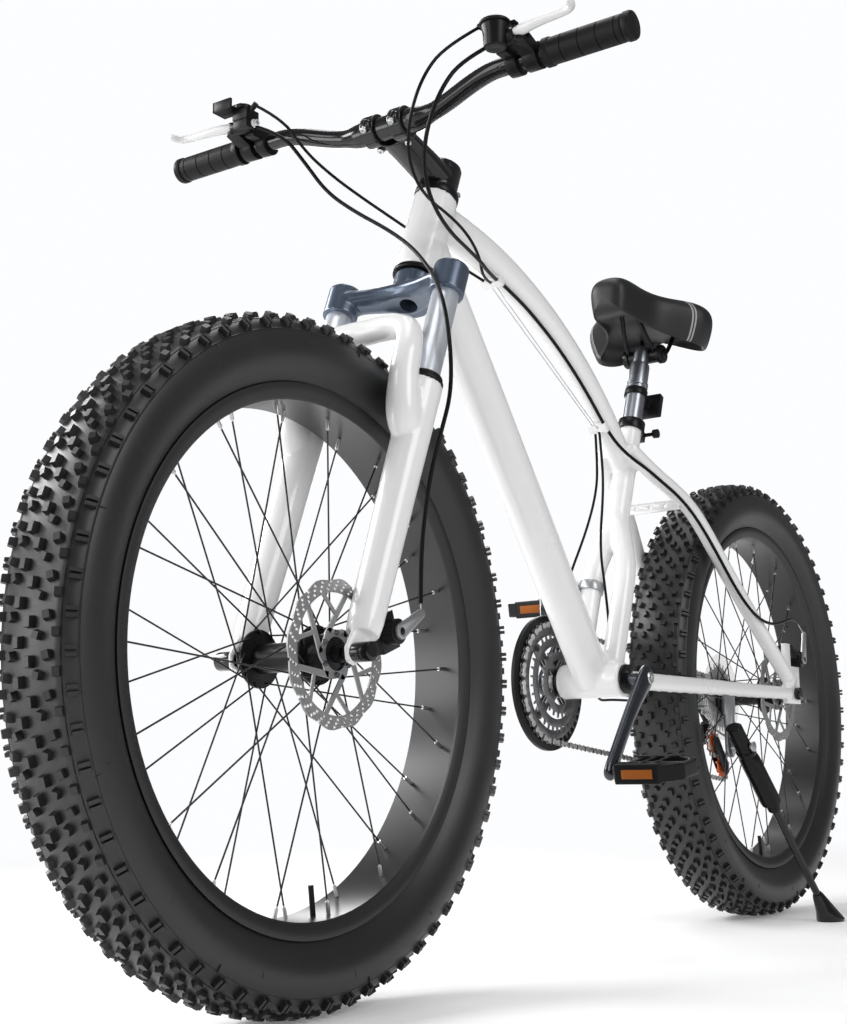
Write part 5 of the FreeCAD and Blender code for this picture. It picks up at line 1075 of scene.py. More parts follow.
rotor_bolt_circle = 22.5
for end, centre in wheel_bodies:
    low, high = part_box(end + "_rotor")
    middle_side = (low.y + high.y) / 2
    disc_centre = Vector((centre.x, middle_side, centre.z))
    steel = rotor_steel(end + "_rotor_steel", disc_centre)
    disc = rotor(end + "_rotor_disc", disc_centre, steel)
    finished(disc, end + "_wheel", end + "_rotor", slot="steel")
    print(end, "rotor", len(disc.data.polygons))
    placed(end + "_rotor_bolts", [block_row(
        round_row, dark_chrome, disc_centre, Count=6, Radius=rotor_bolt_circle, Side=1.8, Lean=90,
        Width=7.0, Height=2.4, Length=1, Taper=0.85, Phase=0,
    )], 30, dark_chrome, end + "_wheel")


# %% [markdown]
# ## Softened edges
# Machined and moulded pieces are engineered with sharp edges, and real ones never have them.
# Each is copied, its triangles are merged back to flat faces, and a small bevel rounds the edges.
# A piece of several solids can have a finish for each, chosen by the place and size of the solid.

# %% Softened copies of engineered pieces


def merged_copy(name, node):
    source = nodes[node].data
    mesh = bpy.data.meshes.new(name)
    faces = [tuple(face.vertices) for face in source.polygons]
    mesh.from_pydata([tuple(vertex.co) for vertex in source.vertices], [], faces)
    shape = bmesh.new()
    shape.from_mesh(mesh)
    bmesh.ops.remove_doubles(shape, verts=shape.verts, dist=0.002 * MM)
    bmesh.ops.dissolve_limit(shape, angle_limit=math.radians(1), verts=shape.verts, edges=shape.edges)
    return mesh, shape


def solids_of(shape):
    # The faces of each separate solid, as lists.
    shape.faces.index_update()
    seen = set()
    for face in shape.faces:
        if face.index in seen:
            continue
        seen.add(face.index)
        waiting = [face]
        group = []
        while waiting:
            current = waiting.pop()
            group.append(current)
            for edge in current.edges:
                for beside in edge.link_faces:
                    if beside.index not in seen:
                        seen.add(beside.index)
                        waiting.append(beside)
        yield group


def box_of(group):
    places = [vertex.co for face in group for vertex in face.verts]
    low = Vector([min(place[axis] for place in places) for axis in range(3)])
    high = Vector([max(place[axis] for place in places) for axis in range(3)])
    return (low + high) / (2 * MM), (high - low) / MM


def softened(node, width, choose):
    # The choice takes a solid's centre and size in millimetres and gives its material.
    mesh, shape = merged_copy(node + "_soft", node)
    materials = []
    for group in solids_of(shape):
        material = choose(*box_of(group)) if callable(choose) else choose
        if material not in materials:
            materials.append(material)
        for face in group:
            face.material_index = materials.index(material)
    shape.to_mesh(mesh)
    shape.free()
    made = new_object(node + "_soft", mesh)
    for material in materials:
        made.data.materials.append(material)
    return round_edges(made, width)


def picked_solids(node, wanted):
    # A merged copy that keeps only the solids whose centre and size are wanted.
    mesh, shape = merged_copy(node + "_picked", node)
    dropped = []
    for group in solids_of(shape):
        if not wanted(*box_of(group)):
            dropped += group
    bmesh.ops.delete(shape, geom=dropped, context="FACES")
    shape.to_mesh(mesh)
    shape.free()
    return mesh


# %% [markdown]
# The list names each engineered piece that keeps its form, its body, its slot, the width of its
# bevel and its finish. Modelling these pieces again would only repeat the model.

# %% Softened pieces


def clear_plastic():
    material, graph = material_graph("clear_plastic")
    fine = noise(graph, object_place(graph), 60.0)
    sockets = {"Base Color": rgba((0.75, 0.75, 0.72)), "Roughness": fine * 0.2 + 0.15, "Alpha": 0.2}
    return close_surface(material, graph, sockets, fine, 0.05)


protector_plastic = clear_plastic()


def hub_finish(centre, size):
    return protector_plastic if size.y < 5 else satin_black


def caliper_finish(centre, size):
    return grey_steel if size.y < 5 else satin_black


reflector_amber = finish("reflector_amber", (0.3, 0.085, 0.012), 0.45, grain=500, lift=0.3, shine=0.15)
soft_pieces = (
    ("front_hub", "front_wheel", "black_alloy", 0.8, hub_finish),
    ("rear_hub", "rear_wheel", "black_alloy", 0.8, hub_finish),
    ("front_axle", "fork_slider", "black_alloy", 1.4, black_paint),
    ("rear_axle", "frame", "black_alloy", 1.4, black_paint),
    ("front_brake_caliper", "fork_slider", "alloy", 1.2, caliper_finish),
    ("rear_brake_caliper", "frame", "alloy", 1.2, caliper_finish),
    ("front_brake_arm", "front_brake_arm", "black_alloy", 0.9, grey_steel),
    ("rear_brake_arm", "rear_brake_arm", "black_alloy", 0.9, grey_steel),
    ("chainrings", "crank", "dark_steel", 0.25, ring_steel),
    ("freewheel", "freewheel", "dark_steel", 0.2, grey_steel),
    ("upper_jockey_wheel", "upper_jockey_wheel", "orange_plastic", 0.3, jockey_orange),
    ("lower_jockey_wheel", "lower_jockey_wheel", "orange_plastic", 0.3, jockey_orange),
    ("derailleur_body", "frame", "black_alloy", 0.9, satin_black),
    ("derailleur_link", "derailleur_link", "black_alloy", 0.9, satin_black),
    ("derailleur_cage", "derailleur_cage", "dark_steel", 0.5, satin_black),
    ("front_derailleur_clamp", "frame", "dark_steel", 0.6, grey_steel),
    ("front_derailleur_cage", "front_derailleur_cage", "dark_steel", 0.4, pale_steel),
    ("seat_clamp", "frame", "black_alloy", 0.9, satin_black),
    ("seat_clamp_lever", "seat_clamp_lever", "black_alloy", 1.4, satin_black),
    ("rear_reflector", "seat", "black_plastic", 1.4, black_plastic),
    ("kickstand_bracket", "frame", "steel", 0.9, grey_steel),
)
for node, body, slot, width, choose in soft_pieces:
    finished(softened(node, width, choose), body, node, slot=slot)
dress("fork_springs", grey_steel)
print("softened", len(soft_pieces))

# %% [markdown]
# ## Round tubes
# The fork's stanchions and the seat post are plain lathes, so that they stay true circles.

# %% Stanchions and seat post
stanchion_outline = ((14.0, 150), (16.5, 150), (16.5, 509), (16.0, 510), (14.0, 510))
stanchions = placed("stanchion_tubes", [
    lathe("stanchion", stanchion_outline, on_leg(0, sign), 64, fork_up, LEFT) for sign in (1, -1)
], 38, chrome, "steering", "stanchions", slot="chromed")
print("stanchions", len(stanchions.data.polygons))
post_outline = (
    (12.8, 300), (15.3, 300), (15.8, 300.6), (15.8, 502.6), (17.3, 503.4), (17.3, 509.4), (15.8, 510.4),
    (15.8, 541), (15.0, 545), (12.5, 547), (12.5, 576), (0.4, 576), (0.4, 503), (12.8, 503),
)
placed("seat_tube_post", [
    lathe("seat_tube_post", post_outline, on_seat(0), 64, seat_up, LEFT)
], 38, post_alloy, "seat", "seat_post", slot="chromed")

# %% [markdown]
# ## The white frame
# The tubes are swept solid, melted into one skin so that the welds have soft fillets, and bored
# again for the steerer, the seat post and the crank spindle. Thin plates would not survive the
# melting, so the dropouts, the bridge and the cable clips are softened copies of the model's.

# %% Tubes of the frame
stay_run_shares = (0.0, 0.106, 0.25, 0.345, 0.44, 0.598, 1.0)
stay_drop_shares = (0.0, 0.083, 0.17, 0.255, 0.382, 0.606, 1.0)
stay_spread_shares = (0.0, 0.149, 0.4, 0.537, 0.657, 0.836, 1.0)


def arc_line(start, middle, end, count):
    # Points on the circle through three places.
    first = start - middle
    second = end - middle
    normal = first.cross(second)
    to_first = second * first.length_squared - first * second.length_squared
    centre = middle + to_first.cross(normal) / (2 * normal.length_squared)
    radius = (start - centre).length
    line = []
    for step in range(count + 1):
        share = step / count
        if share < 0.5:
            place = start.lerp(middle, share * 2)
        else:
            place = middle.lerp(end, share * 2 - 1)
        line.append(centre + (place - centre).normalized() * radius)
    return line


def oval_sweep(name, line, widths, heights, count=36):
    # An upright oval along a line in the bicycle's plane, with its width along the axles.
    stations = []
    for index, point in enumerate(line):
        way = (line[min(index + 1, len(line) - 1)] - line[max(index - 1, 0)]).normalized()
        share = index / (len(line) - 1)
        width = widths[0] + (widths[1] - widths[0]) * share
        height = heights[0] + (heights[1] - heights[0]) * share
        across = (LEFT - way * LEFT.dot(way)).normalized()
        stations.append((point, across, across.cross(way), width / 2, height / 2))
    return sweep(name, stations, count)


def straight(name, start, end, radius):
    return tube(name, [start, end], radius, 40)


def cross_bar(name, middle, half, radius):
    # A round bar along the axles' way, with the same reach on both sides.
    return straight(name, middle - leftward(half), middle + leftward(half), radius)


# Millimetres along the fork, along the seat tube, or to the side.
head_ends = (546, 668.3)
top_tube_start, down_tube_start = head_low_along + 88.5, head_low_along + 43
top_tube_rise = 60
seat_tube_ends = (258, 438)
shell_half = 50
seat_leg_route = ((290, 0), (262, 2), (225, 13), (186, 25), (150, 27), (80, 27), (0, 27))
dropout_side = 88.5

# %% [markdown]
# The frame is welded and then painted, so no hard line is left where tubes meet. A boolean union
# would leave such lines. A remesh rounds them off, and the bores are cut after it.

# %% Frame skin


def frame_tubes():
    head = straight("head", on_fork(head_ends[0]), on_fork(head_ends[1]), 29)
    top_start, top_end = on_fork(top_tube_start), on_seat(354)
    chord_up = (top_start - top_end).cross(LEFT).normalized()
    top_middle = (top_start + top_end) / 2 + chord_up * (top_tube_rise * MM)
    top = oval_sweep("top", arc_line(top_start, top_middle, top_end, 28), (46, 34), (52, 38))
    down = oval_sweep("down", [on_fork(down_tube_start), bracket], (54, 54), (58, 58))
    seat = straight("seat", on_seat(seat_tube_ends[0]), on_seat(seat_tube_ends[1]), 17.5)
    tubes = [head, top, down, seat, cross_bar("shell", bracket, shell_half, 25)]
    for sign in (1, -1):
        leg = routed_line([on_seat(along, 0, sign * side) for along, side in seat_leg_route], 8)
        tubes.append(tube("leg", leg, 16, 32))
        low_start = bracket + leftward(sign * 42)
        low_end = rear_axle + Vector((22, sign * dropout_side, 0)) * MM
        tubes.append(oval_sweep("chain_stay", [low_start, low_end], (16, 16), (28, 22), 28))
        joint = on_seat(366, -34, sign * 23)
        span = rear_axle + Vector((28, sign * dropout_side, 26)) * MM - joint
        points = []
        for run, drop, spread in zip(stay_run_shares, stay_drop_shares, stay_spread_shares):
            points.append(joint + Vector((span.x * run, span.y * spread, span.z * drop)))
        tubes.append(tube("seat_stay", routed_line(points, 10), 12.5, 28))
    return tubes


def bored(made, bores):
    return carved(made, joined("bores", bores))


frame_skin = melted("frame_skin", frame_tubes(), 2.7, 6)
bored(frame_skin, [
    straight("head_bore", on_fork(540), on_fork(680), 16.5),
    straight("seat_bore", on_seat(264), on_seat(450), 15.9),
    cross_bar("shell_bore", bracket, 60, 16.4),
])
smooth(frame_skin.data, 50)
painted(frame_skin, white_paint)
finished(frame_skin, "frame", "main_frame", "rear_triangle", slot="white_paint")
print("frame skin", len(frame_skin.data.polygons))

# %% [markdown]
# The dropouts, the bridge and the clips are cut from plate, with their edges just broken. They
# are picked out of the model by their size, and a narrow bevel breaks the edges.

# %% Plates and clips of the frame


def is_small_plate(centre, size):
    return min(size) < 9.5 or max(size) < 45


plates = bevelled("frame_plates", [
    picked_solids("main_frame", is_small_plate), picked_solids("rear_triangle", is_small_plate),
], 0.9, white_paint)
finished(plates, "frame", slot="white_paint")
print("plates", len(plates.data.polygons))

# %% [markdown]
# ## Fork
# The lower legs with their arch are one casting, and so is the crown. Each is melted from solid
# sweeps, which rounds every corner as the mould would, and bored for the stanchions again.

# %% Fork castings


def cast(name, meshes, voxel, passes, material):
    return painted(melted(name, meshes, voxel, passes), material)


leg_top = 343.0
leg_floor = 92.0
stanchion_bore = 16.6
arch_stations = (
    # along the fork, forward, side, radius
    (268, 40, 80, 15.0), (282, 48, 80, 19.0), (302, 58, 80, 19.5), (336, 68, 80, 17.0), (370, 70, 79, 16.0),
    (396, 67, 70, 15.6), (411, 61, 48, 15.4), (416, 58, 20, 15.2), (416, 57, 0, 15.2),
)


def arch_mesh():
    stations = list(arch_stations)
    for along, forward, side, radius in reversed(arch_stations[:-1]):
        stations.append((along, forward, -side, radius))
    stations = flowing(stations, 4)
    line = [on_fork(along, forward, side) for along, forward, side, radius in stations]
    return round_sweep("arch", line, [station[3] for station in stations], 24)


def leg_mesh(sign):
    line = [on_leg(24, sign), on_leg(40, sign), on_leg(leg_top, sign)]
    return round_sweep("leg", line, [18, 19.8, 23], 40)


def tab_mesh(sign):
    start, end = on_leg(34, sign), front_axle + leftward(sign * leg_side)
    stations = [(start, fork_front, LEFT, 15, 6), (end, fork_front, LEFT, 15, 5)]
    stations.append((end - fork_up * (12 * MM), fork_front, LEFT, 8, 4.5))
    return sweep("tab", stations, 24)


lower_pieces = [arch_mesh()]
lower_bores = []
for sign in (1, -1):
    lower_pieces += [leg_mesh(sign), tab_mesh(sign)]
    lower_bores.append(straight("bore", on_leg(leg_floor, sign), on_leg(leg_top + 20, sign), stanchion_bore))
    inside, outside = front_axle + leftward(sign * 60), front_axle + leftward(sign * 100)
    lower_bores.append(straight("axle_bore", inside, outside, 5.1))
lowers = cast("fork_lower_casting", lower_pieces, 1.9, 5, white_paint)
bored(lowers, lower_bores)
smooth(lowers.data, 50)
finished(lowers, "fork_slider", "fork_lowers", slot="white_paint")
crown_stations = (
    # side, along, forward, half depth, half height
    (-92, 493, 30, 14, 12), (-80, 494, 30, 20, 14), (-58, 498, 25, 20, 12), (-32, 504, 13, 22, 12),
    (0, 508, 4, 26, 15), (32, 504, 13, 22, 12), (58, 498, 25, 20, 12), (80, 494, 30, 20, 14),
    (92, 493, 30, 14, 12),
)

# %% [markdown]
# The crown is a forged bridge that clamps both stanchions, and it is hollow to save weight. It
# is swept in one arc from side to side and melted with its clamps, then hollowed and bored.

# %% Crown, steerer and seals


def crown_sweep(name, shrink, lower):
    stations = []
    for side, along, forward, depth, height in flowing(crown_stations[lower:len(crown_stations) - lower], 6):
        place = on_fork(along - (lower * 9), forward, side)
        stations.append((place, fork_front, fork_up, depth - shrink, height - shrink))
    return sweep(name, stations, 28)


crown_pieces = [crown_sweep("arms", 0, 0), straight("boss", on_fork(498), on_fork(539), 26)]
crown_bores = []
for sign in (1, -1):
    crown_pieces.append(straight("clamp", on_leg(474, sign), on_leg(514, sign), 21.8))
    crown_bores.append(straight("clamp_bore", on_leg(460, sign), on_leg(512, sign), stanchion_bore))
crown_bores.append(straight("steerer_hole", on_fork(480), on_fork(536), 11.5))
crown = cast("crown_casting", crown_pieces, 1.2, 12, slate_paint)
hollow = crown_sweep("hollow", 4.5, 2)
bored(crown, [hollow])
bored(crown, crown_bores)
smooth(crown.data, 45)
finished(crown, "steering", "fork_crown", slot="slate_paint")
steerer_outline = ((11.7, 515), (14.3, 515), (14.3, 700), (11.7, 700))
placed("steerer_tube", [
    lathe("steerer_tube", steerer_outline, on_fork(0), 40, fork_up, LEFT)
], 38, satin_black, "steering")
seal_outline = (
    (16.7, 0.2), (22.2, 0.2), (22.6, 1.0), (22.6, 4.0), (21.6, 4.8), (20.2, 5.2), (20.2, 6.0),
    (20.8, 6.6), (20.8, 9.6), (19.8, 10.6), (17.6, 11.6), (16.7, 11.6),
)
placed("seal_rings", [
    lathe("seal", seal_outline, on_leg(leg_top, sign), 64, fork_up, LEFT) for sign in (1, -1)
], 40, seal_rubber, "fork_slider", "fork_seals", slot="soft_rubber")
print("fork", len(lowers.data.polygons), "crown", len(crown.data.polygons))

# %% [markdown]
# ## Grips and brake levers
# A grip is a rubber sleeve with a collar at each end and four fine grooves. A lever blade is
# drawn as a few ovals and subdivided, so that it flows into the hooked tip.

# %% Grips and levers
grip_outline = [(11.2, 0), (16.6, 0), (17.3, 0.8), (17.3, 8), (16.7, 8.8), (16.0, 9.4)]
for groove in (26, 49, 72, 95):
    grip_outline += [(16.2, groove - 0.8), (15.3, groove - 0.4), (15.3, groove + 0.4), (16.2, groove + 0.8)]
grip_outline += [(16.0, 102), (15.2, 102.6), (15.2, 104.0), (16.8, 104.6), (17.2, 105.4), (17.2, 111)]
grip_outline += [(16.2, 113.4), (14.0, 114.4), (0.4, 114.6), (0.4, 112.6), (11.2, 112.6)]
grip_height = 1065.0
grip_forward = 440.6
grip_inner_end = 232
blade_lift = 2.4
barrel_side = 188
lever_stations = (
    # out, forward, half depth, half height
    (-8, -1, 7.0, 5.0), (4, 2, 8.6, 6.4), (18, 6.5, 8.0, 6.4), (36, 9.0, 6.6, 5.8), (52, 9.5, 5.8, 5.4),
    (68, 10.5, 5.6, 5.2), (78, 14.0, 5.6, 5.2), (82, 21.0, 5.2, 5.0), (82.5, 29.0, 4.8, 4.6),
    (82.5, 32.0, 2.6, 2.6),
)


def subdivided(name, mesh, levels):
    made = new_object(name, mesh)
    modifier = made.modifiers.new("flow", "SUBSURF")
    modifier.levels = levels
    modifier.render_levels = levels
    baked(made)
    all_smooth(made.data)
    return made


grip_meshes = []
barrel_meshes = []
barrel_outline = [(2.6, 0), (5.4, 0), (6.0, 0.8), (6.0, 7.2), (5.2, 8.4), (4.2, 8.8), (4.2, 13), (2.6, 13)]
for sign, side_name in sides:
    inner_end = Vector((grip_forward * MM, sign * grip_inner_end * MM, grip_height * MM))
    grip_meshes.append(lathe("grip", grip_outline, inner_end, 56, LEFT * sign, FORWARD))
    pivot = joint_place(side_name + "_brake_squeeze")
    stations = []
    for index, (out, forward, depth, height) in enumerate(lever_stations):
        before = lever_stations[max(index - 1, 0)]
        after = lever_stations[min(index + 1, len(lever_stations) - 1)]
        way = (LEFT * (sign * (after[0] - before[0])) + FORWARD * (after[1] - before[1])).normalized()
        across = way.cross(UP)
        place = pivot + leftward(sign * out) + onward(forward) + upward(blade_lift)
        stations.append((place, across, UP, depth, height))
    blade = subdivided(side_name + "_lever_blade", sweep("blade", stations, 10), 2)
    painted(blade, lever_white)
    finished(blade, side_name + "_brake_lever", side_name + "_brake_lever", slot="white_lever_paint")
    barrel_start = Vector((pivot.x, sign * barrel_side * MM, pivot.z))
    barrel_meshes.append(lathe("barrel", barrel_outline, barrel_start, 20, LEFT * -sign, FORWARD))
grips = placed("grip_sleeves", grip_meshes, 40, grip_rubber, "steering", "grips", slot="soft_rubber")
placed("barrel_adjusters", barrel_meshes, 40, lever_white, "steering")
print("grips", len(grips.data.polygons))

# %% [markdown]
# ## Saddle
# The cover is a padded skin over a tray. A few cross sections are joined into a closed cage and
# subdivided, and its finish adds a leather grain and two light piping lines on each flank.

# %% Saddle cover
post_top = on_seat(576)
saddle_nose = post_top.x + 127 * MM
saddle_tail = post_top.x - 78 * MM
saddle_top = post_top.z + 84 * MM
saddle_sections = (
    # share from the nose, half width, crest, skirt depth
    (0.0, 10, -14, 22), (0.015, 23, -1, 46), (0.06, 32, 7, 62), (0.17, 36, 10, 68), (0.36, 40, 5, 67),
    (0.48, 54, 0, 69), (0.58, 82, -5, 75), (0.68, 107, -6, 80), (0.79, 111, -8, 80),
    (0.9, 102, -12, 75), (1.0, 78, -22, 60),
)
saddle_profile = (
    # share of the half width, and share of the way down the skirt
    (0.0, 0.0), (0.36, 0.015), (0.66, 0.06), (0.88, 0.17), (0.985, 0.34), (0.97, 0.6),
    (0.9, 0.86), (0.86, 0.98), (0.82, 1.0), (0.78, 0.96), (0.76, 0.72), (0.6, 0.56), (0.3, 0.52), (0.0, 0.52),
)
piping_shares = (0.625, 0.642)
piping_side = 77
piping_drop = 8


def saddle_cage():
    points = []
    loop = saddle_profile + tuple((-share, down) for share, down in reversed(saddle_profile[1:-1]))
    for share, half, crest, depth in saddle_sections:
        forward = saddle_nose + (saddle_tail - saddle_nose) * share
        hollow = min(1.0, max(0.0, (share - 0.14) / 0.3))
        for place, (side_share, down_share) in enumerate(loop):
            if len(saddle_profile) - 5 <= place <= len(saddle_profile) + 2:
                down_share = 0.97 + (down_share - 0.97) * hollow
            height = saddle_top + (crest - depth * down_share) * MM
            points.append(Vector((forward, half * side_share * MM, height)))
    return mesh_from("saddle_cage", points, loop_faces(len(saddle_sections), len(loop)))


# %% [markdown]
# The cover is vinyl with a pebbled grain. Round cells of a Voronoi texture give the grain and
# need no unwrapping, and the piping is drawn where a point is near one of two lines.

# %% Saddle finish


def saddle_vinyl():
    material, graph = material_graph("saddle_vinyl")
    place = object_place(graph)
    along, side, height = graph.split(place)
    cells = graph.node("ShaderNodeTexVoronoi", {"feature": "F1"}, {"Vector": place, "Scale": 520.0})
    patches = noise(graph, place, 14.0)
    lines = []
    for share in piping_shares:
        place_x = saddle_nose + (saddle_tail - saddle_nose) * share
        lines.append(along.math("ABSOLUTE", along - place_x, 0.0) < 0.9 * MM)
    outside = side.math("ABSOLUTE", side, 0.0) > piping_side * MM
    line = along.math("MAXIMUM", *lines) * outside * (height < saddle_top - piping_drop * MM)
    tint = graph.mix_colour(line, rgba((0.008, 0.008, 0.0085)), rgba((0.3, 0.3, 0.31)))
    roughness = patches * 0.12 + cells * 0.1 + 0.34
    sockets = {"Base Color": tint, "Roughness": roughness, "Specular IOR Level": 0.4}
    return close_surface(material, graph, sockets, cells + line * 3.0, 0.16, 0.15 * MM)


saddle = subdivided("saddle_skin", saddle_cage(), 3)
painted(saddle, saddle_vinyl())
finished(saddle, "seat", "saddle_cover", slot="saddle_skin")
print("saddle", len(saddle.data.polygons))

# %% [markdown]
# ## Saddle rails and clamp
# Two bent wires hang under the saddle, and the clamp on the post grips their flat middle.

# %% Rails
rail_route = (
    (58, 9, 60), (44, 12, 50), (26, 18, 18), (8, 22, -4), (-12, 22, -8), (-32, 22, -6), (-50, 24, 10),
    (-62, 30, 40),
)
rail_radius = 3.5
clamp_forward, clamp_up = -8, -10


def place_on_post(forward, side, up):
    return post_top + Vector((forward, side, up)) * MM


def box_mesh(centre, across, up, length, width, height):
    # A box round a centre. Its length runs along the cross product of the other two ways.
    along = across.cross(up)
    points = []
    for end in (-0.5, 0.5):
        station = centre + along * (end * length * MM)
        for side, top in ((-1, -1), (1, -1), (1, 1), (-1, 1)):
            points.append(station + across * (side * width * MM / 2) + up * (top * height * MM / 2))
    return mesh_from("box", points, loop_faces(2, 4))


disc_outline = ((0.3, 0), (13, 0), (15, 1.5), (15, 8), (13.5, 10), (6, 10), (5, 11.5), (0.3, 11.5))
rail_meshes = []
for sign in (1, -1):
    line = routed_line([place_on_post(forward, sign * side, up) for forward, side, up in rail_route], 8)
    rail_meshes.append(tube("rail", line, rail_radius, 14))
    disc_at = place_on_post(clamp_forward, sign * 24, clamp_up)
    rail_meshes.append(lathe("clamp_disc", disc_outline, disc_at, 36, LEFT * sign))
clamp_ends = [place_on_post(clamp_forward, side, clamp_up) for side in (-25, 25)]
rail_meshes.append(straight("clamp_body", *clamp_ends, 12))
rail_meshes.append(box_mesh(place_on_post(30, 0, 54), LEFT, UP, 150, 46, 6))
rails = placed("saddle_rails", rail_meshes, 38, satin_black, "seat", "saddle_frame", slot="dark_steel")
print("rails", len(rails.data.polygons))

# %% [markdown]
# ## Stem
# The stem is a forged body that carries two strap clamps. The body and the straps are melted
# into one skin, and bright bolts hold the straps.

# %% Stem
bar_at = on_fork(688.6, 119.5)
strap_side = 21
ear_reach = 20
stem_pieces = [straight("steerer_clamp", on_fork(671), on_fork(722), 24.5)]
body_line = [(697, -8, 24, 21), (697, 30, 23.5, 20), (693, 70, 23.5, 17), (688, 104, 24, 15)]
stem_pieces.append(sweep("stem_body", [
    (on_fork(along, forward), LEFT, fork_up, half_width, half_height)
    for along, forward, half_width, half_height in flowing(body_line, 6)
], 28))
bolt_meshes = []
bolt_outline = ((0.3, 0), (3.4, 0), (4.2, 0.8), (4.2, 4.2), (3.4, 5.0), (2.3, 5.0), (2.1, 3.4), (0.3, 3.4))
for sign in (1, -1):
    side = leftward(sign * strap_side)
    stem_pieces.append(cross_bar("strap", bar_at + side, 10, 20.5))
    for forward in (-ear_reach, ear_reach):
        ear = bar_at + side + fork_front * (forward * MM) - fork_up * (5 * MM)
        stem_pieces.append(straight("ear", ear - fork_up * (7 * MM), ear + fork_up * (4 * MM), 5.6))
        bolt_meshes.append(lathe("bolt", bolt_outline, ear - fork_up * (6.6 * MM), 16, -fork_up, LEFT))
pinch = on_fork(692, -22)
stem_pieces.append(cross_bar("pinch", pinch, 13, 7))
for sign in (1, -1):
    bolt_meshes.append(lathe("bolt", bolt_outline, pinch + leftward(sign * 12.6), 16, LEFT * sign, UP))
bar_half, bar_rise, bar_forward = 344, 26, 8
bar_steps = 86
bar_bend = (46, 170)
bar_stations = []
bar_radii = []
for step in range(-bar_steps, bar_steps + 1):
    side = bar_half * step / bar_steps
    bend = min(1.0, max(0.0, (abs(side) - bar_bend[0]) / (bar_bend[1] - bar_bend[0])))
    bend = bend * bend * (3 - 2 * bend)
    bar_stations.append(bar_at + leftward(side) + upward(bar_rise * bend) + onward(bar_forward * bend))
    thick = min(1.0, max(0.0, (70 - abs(side)) / 30))
    bar_radii.append(11.1 + 4.4 * thick * thick * (3 - 2 * thick))
bar_mesh = round_sweep("bar_tube", bar_stations, bar_radii, 32)
placed("bar_tube", [bar_mesh], 40, black_paint, "steering", "handlebar", slot="black_paint")
stem_body = cast("stem_forging", stem_pieces, 1.2, 4, black_paint)
finished(stem_body, "steering", "stem", slot="black_paint")
placed("stem_bolts", bolt_meshes, 38, pale_steel, "steering")
print("stem", len(stem_body.data.polygons))

# %% [markdown]
# ## Bearing cups
# The cups keep the model's shapes, but for the low one of the headset. That one is turned thinner,
# so that the head tube ends just above the fork's crown.

# %% Bearing cups


def keeps_cup(centre, size):
    return not 850 < centre.z < 875


low_cup_outline = ((16.6, 540), (28.6, 540), (29.6, 541), (29.6, 546), (16.6, 546))
cups = bevelled("bearing_cups_soft", [
    picked_solids("bearing_cups", keeps_cup),
    lathe("low_cup", low_cup_outline, on_fork(0), 64, fork_up, LEFT),
], 0.6, satin_black)
finished(cups, "frame", "bearing_cups", slot="black_alloy")
print("cups", len(cups.data.polygons))

# %% [markdown]
# ## Brake perches and shifters
# Each brake lever sits on a perch that clamps the bar. The left shifter is a round cup with a
# turning lid, and the right one is a small box with an open thumb pad.

# %% Perches and shifters
# Millimetres to the side, and heights over the ground.
ring_side, perch_side, perch_length = 192, 187, 28
neck_height, cup_height, lid_height = 1070, 1064, 1095
box_height, pad_height = 1087, 1101.6
ferrule_ends = ((486.6, 182, 1089), (486.8, 170, 1098.6))
bar_line = Vector((grip_forward, 0, grip_height)) * MM
perch_meshes = [picked_solids("control_mounts", lambda centre, size: centre.z < 1075)]
shift_meshes = {}
for sign, side_name in sides:
    drum = joint_place(side_name + "_shift")
    ring_at = bar_line + leftward(sign * ring_side)
    perch_meshes.append(cross_bar("ring", ring_at, 7, 16.5))
    neck = Vector((drum.x - 18 * MM, drum.y, neck_height * MM))
    perch_meshes.append(box_mesh((ring_at + neck) / 2 + upward(4), LEFT, UP, 40, 13, 16))
    pivot = joint_place(side_name + "_brake_squeeze")
    perch_start = Vector((pivot.x, sign * perch_side * MM, pivot.z))
    perch_meshes.append(straight("perch", perch_start, perch_start + leftward(sign * perch_length), 9))
for sign in (1, -1):
    ferrule = [Vector((x, sign * side, z)) * MM for x, side, z in ferrule_ends]
    perch_meshes.append(straight("ferrule", *ferrule, 3.6))
cup_outline = ((0.4, 0), (12, 0), (13.6, 1.6), (14.6, 18), (16.4, 26), (16.4, 28), (0.4, 28))
left_drum = joint_place("left_shift")
cup_at = Vector((left_drum.x, left_drum.y, cup_height * MM))
perch_meshes.append(lathe("cup", cup_outline, cup_at, 40, UP))
lid_outline = ((0.4, 28.5), (17.6, 28.5), (18.6, 29.5), (18.6, 31.5), (17, 33), (10, 35), (0.4, 35.8))
paddle = Vector((left_drum.x - 12 * MM, left_drum.y + 14 * MM, lid_height * MM))
shift_meshes["left"] = [lathe("lid", lid_outline, cup_at, 40, UP), box_mesh(paddle, FORWARD, UP, 16, 10, 3.4)]
right_drum = joint_place("right_shift")
box_at = Vector((right_drum.x - 4 * MM, right_drum.y, box_height * MM))
perch_meshes.append(box_mesh(box_at, LEFT, UP, 24, 24, 14))
perch_meshes.append(box_mesh(box_at - upward(12), LEFT, UP, 22, 22, 12))
pad_at = Vector((right_drum.x + 6 * MM, right_drum.y - 22 * MM, pad_height * MM))
turn_at = Vector((right_drum.x, right_drum.y, lid_height * MM))
shift_meshes["right"] = [straight("turntable", turn_at, turn_at + upward(5), 11)]
for out in (-10, 10):
    shift_meshes["right"].append(box_mesh(pad_at + onward(out), LEFT, UP, 4, 30, 14))
shift_meshes["right"].append(box_mesh(pad_at - leftward(14), LEFT, UP, 24, 4, 14))
shift_meshes["right"].append(box_mesh(pad_at - upward(5), LEFT, UP, 20, 28, 4))
perches = bevelled("lever_perches", perch_meshes, 0.9, black_plastic)
finished(perches, "steering", "control_mounts", slot="black_plastic")
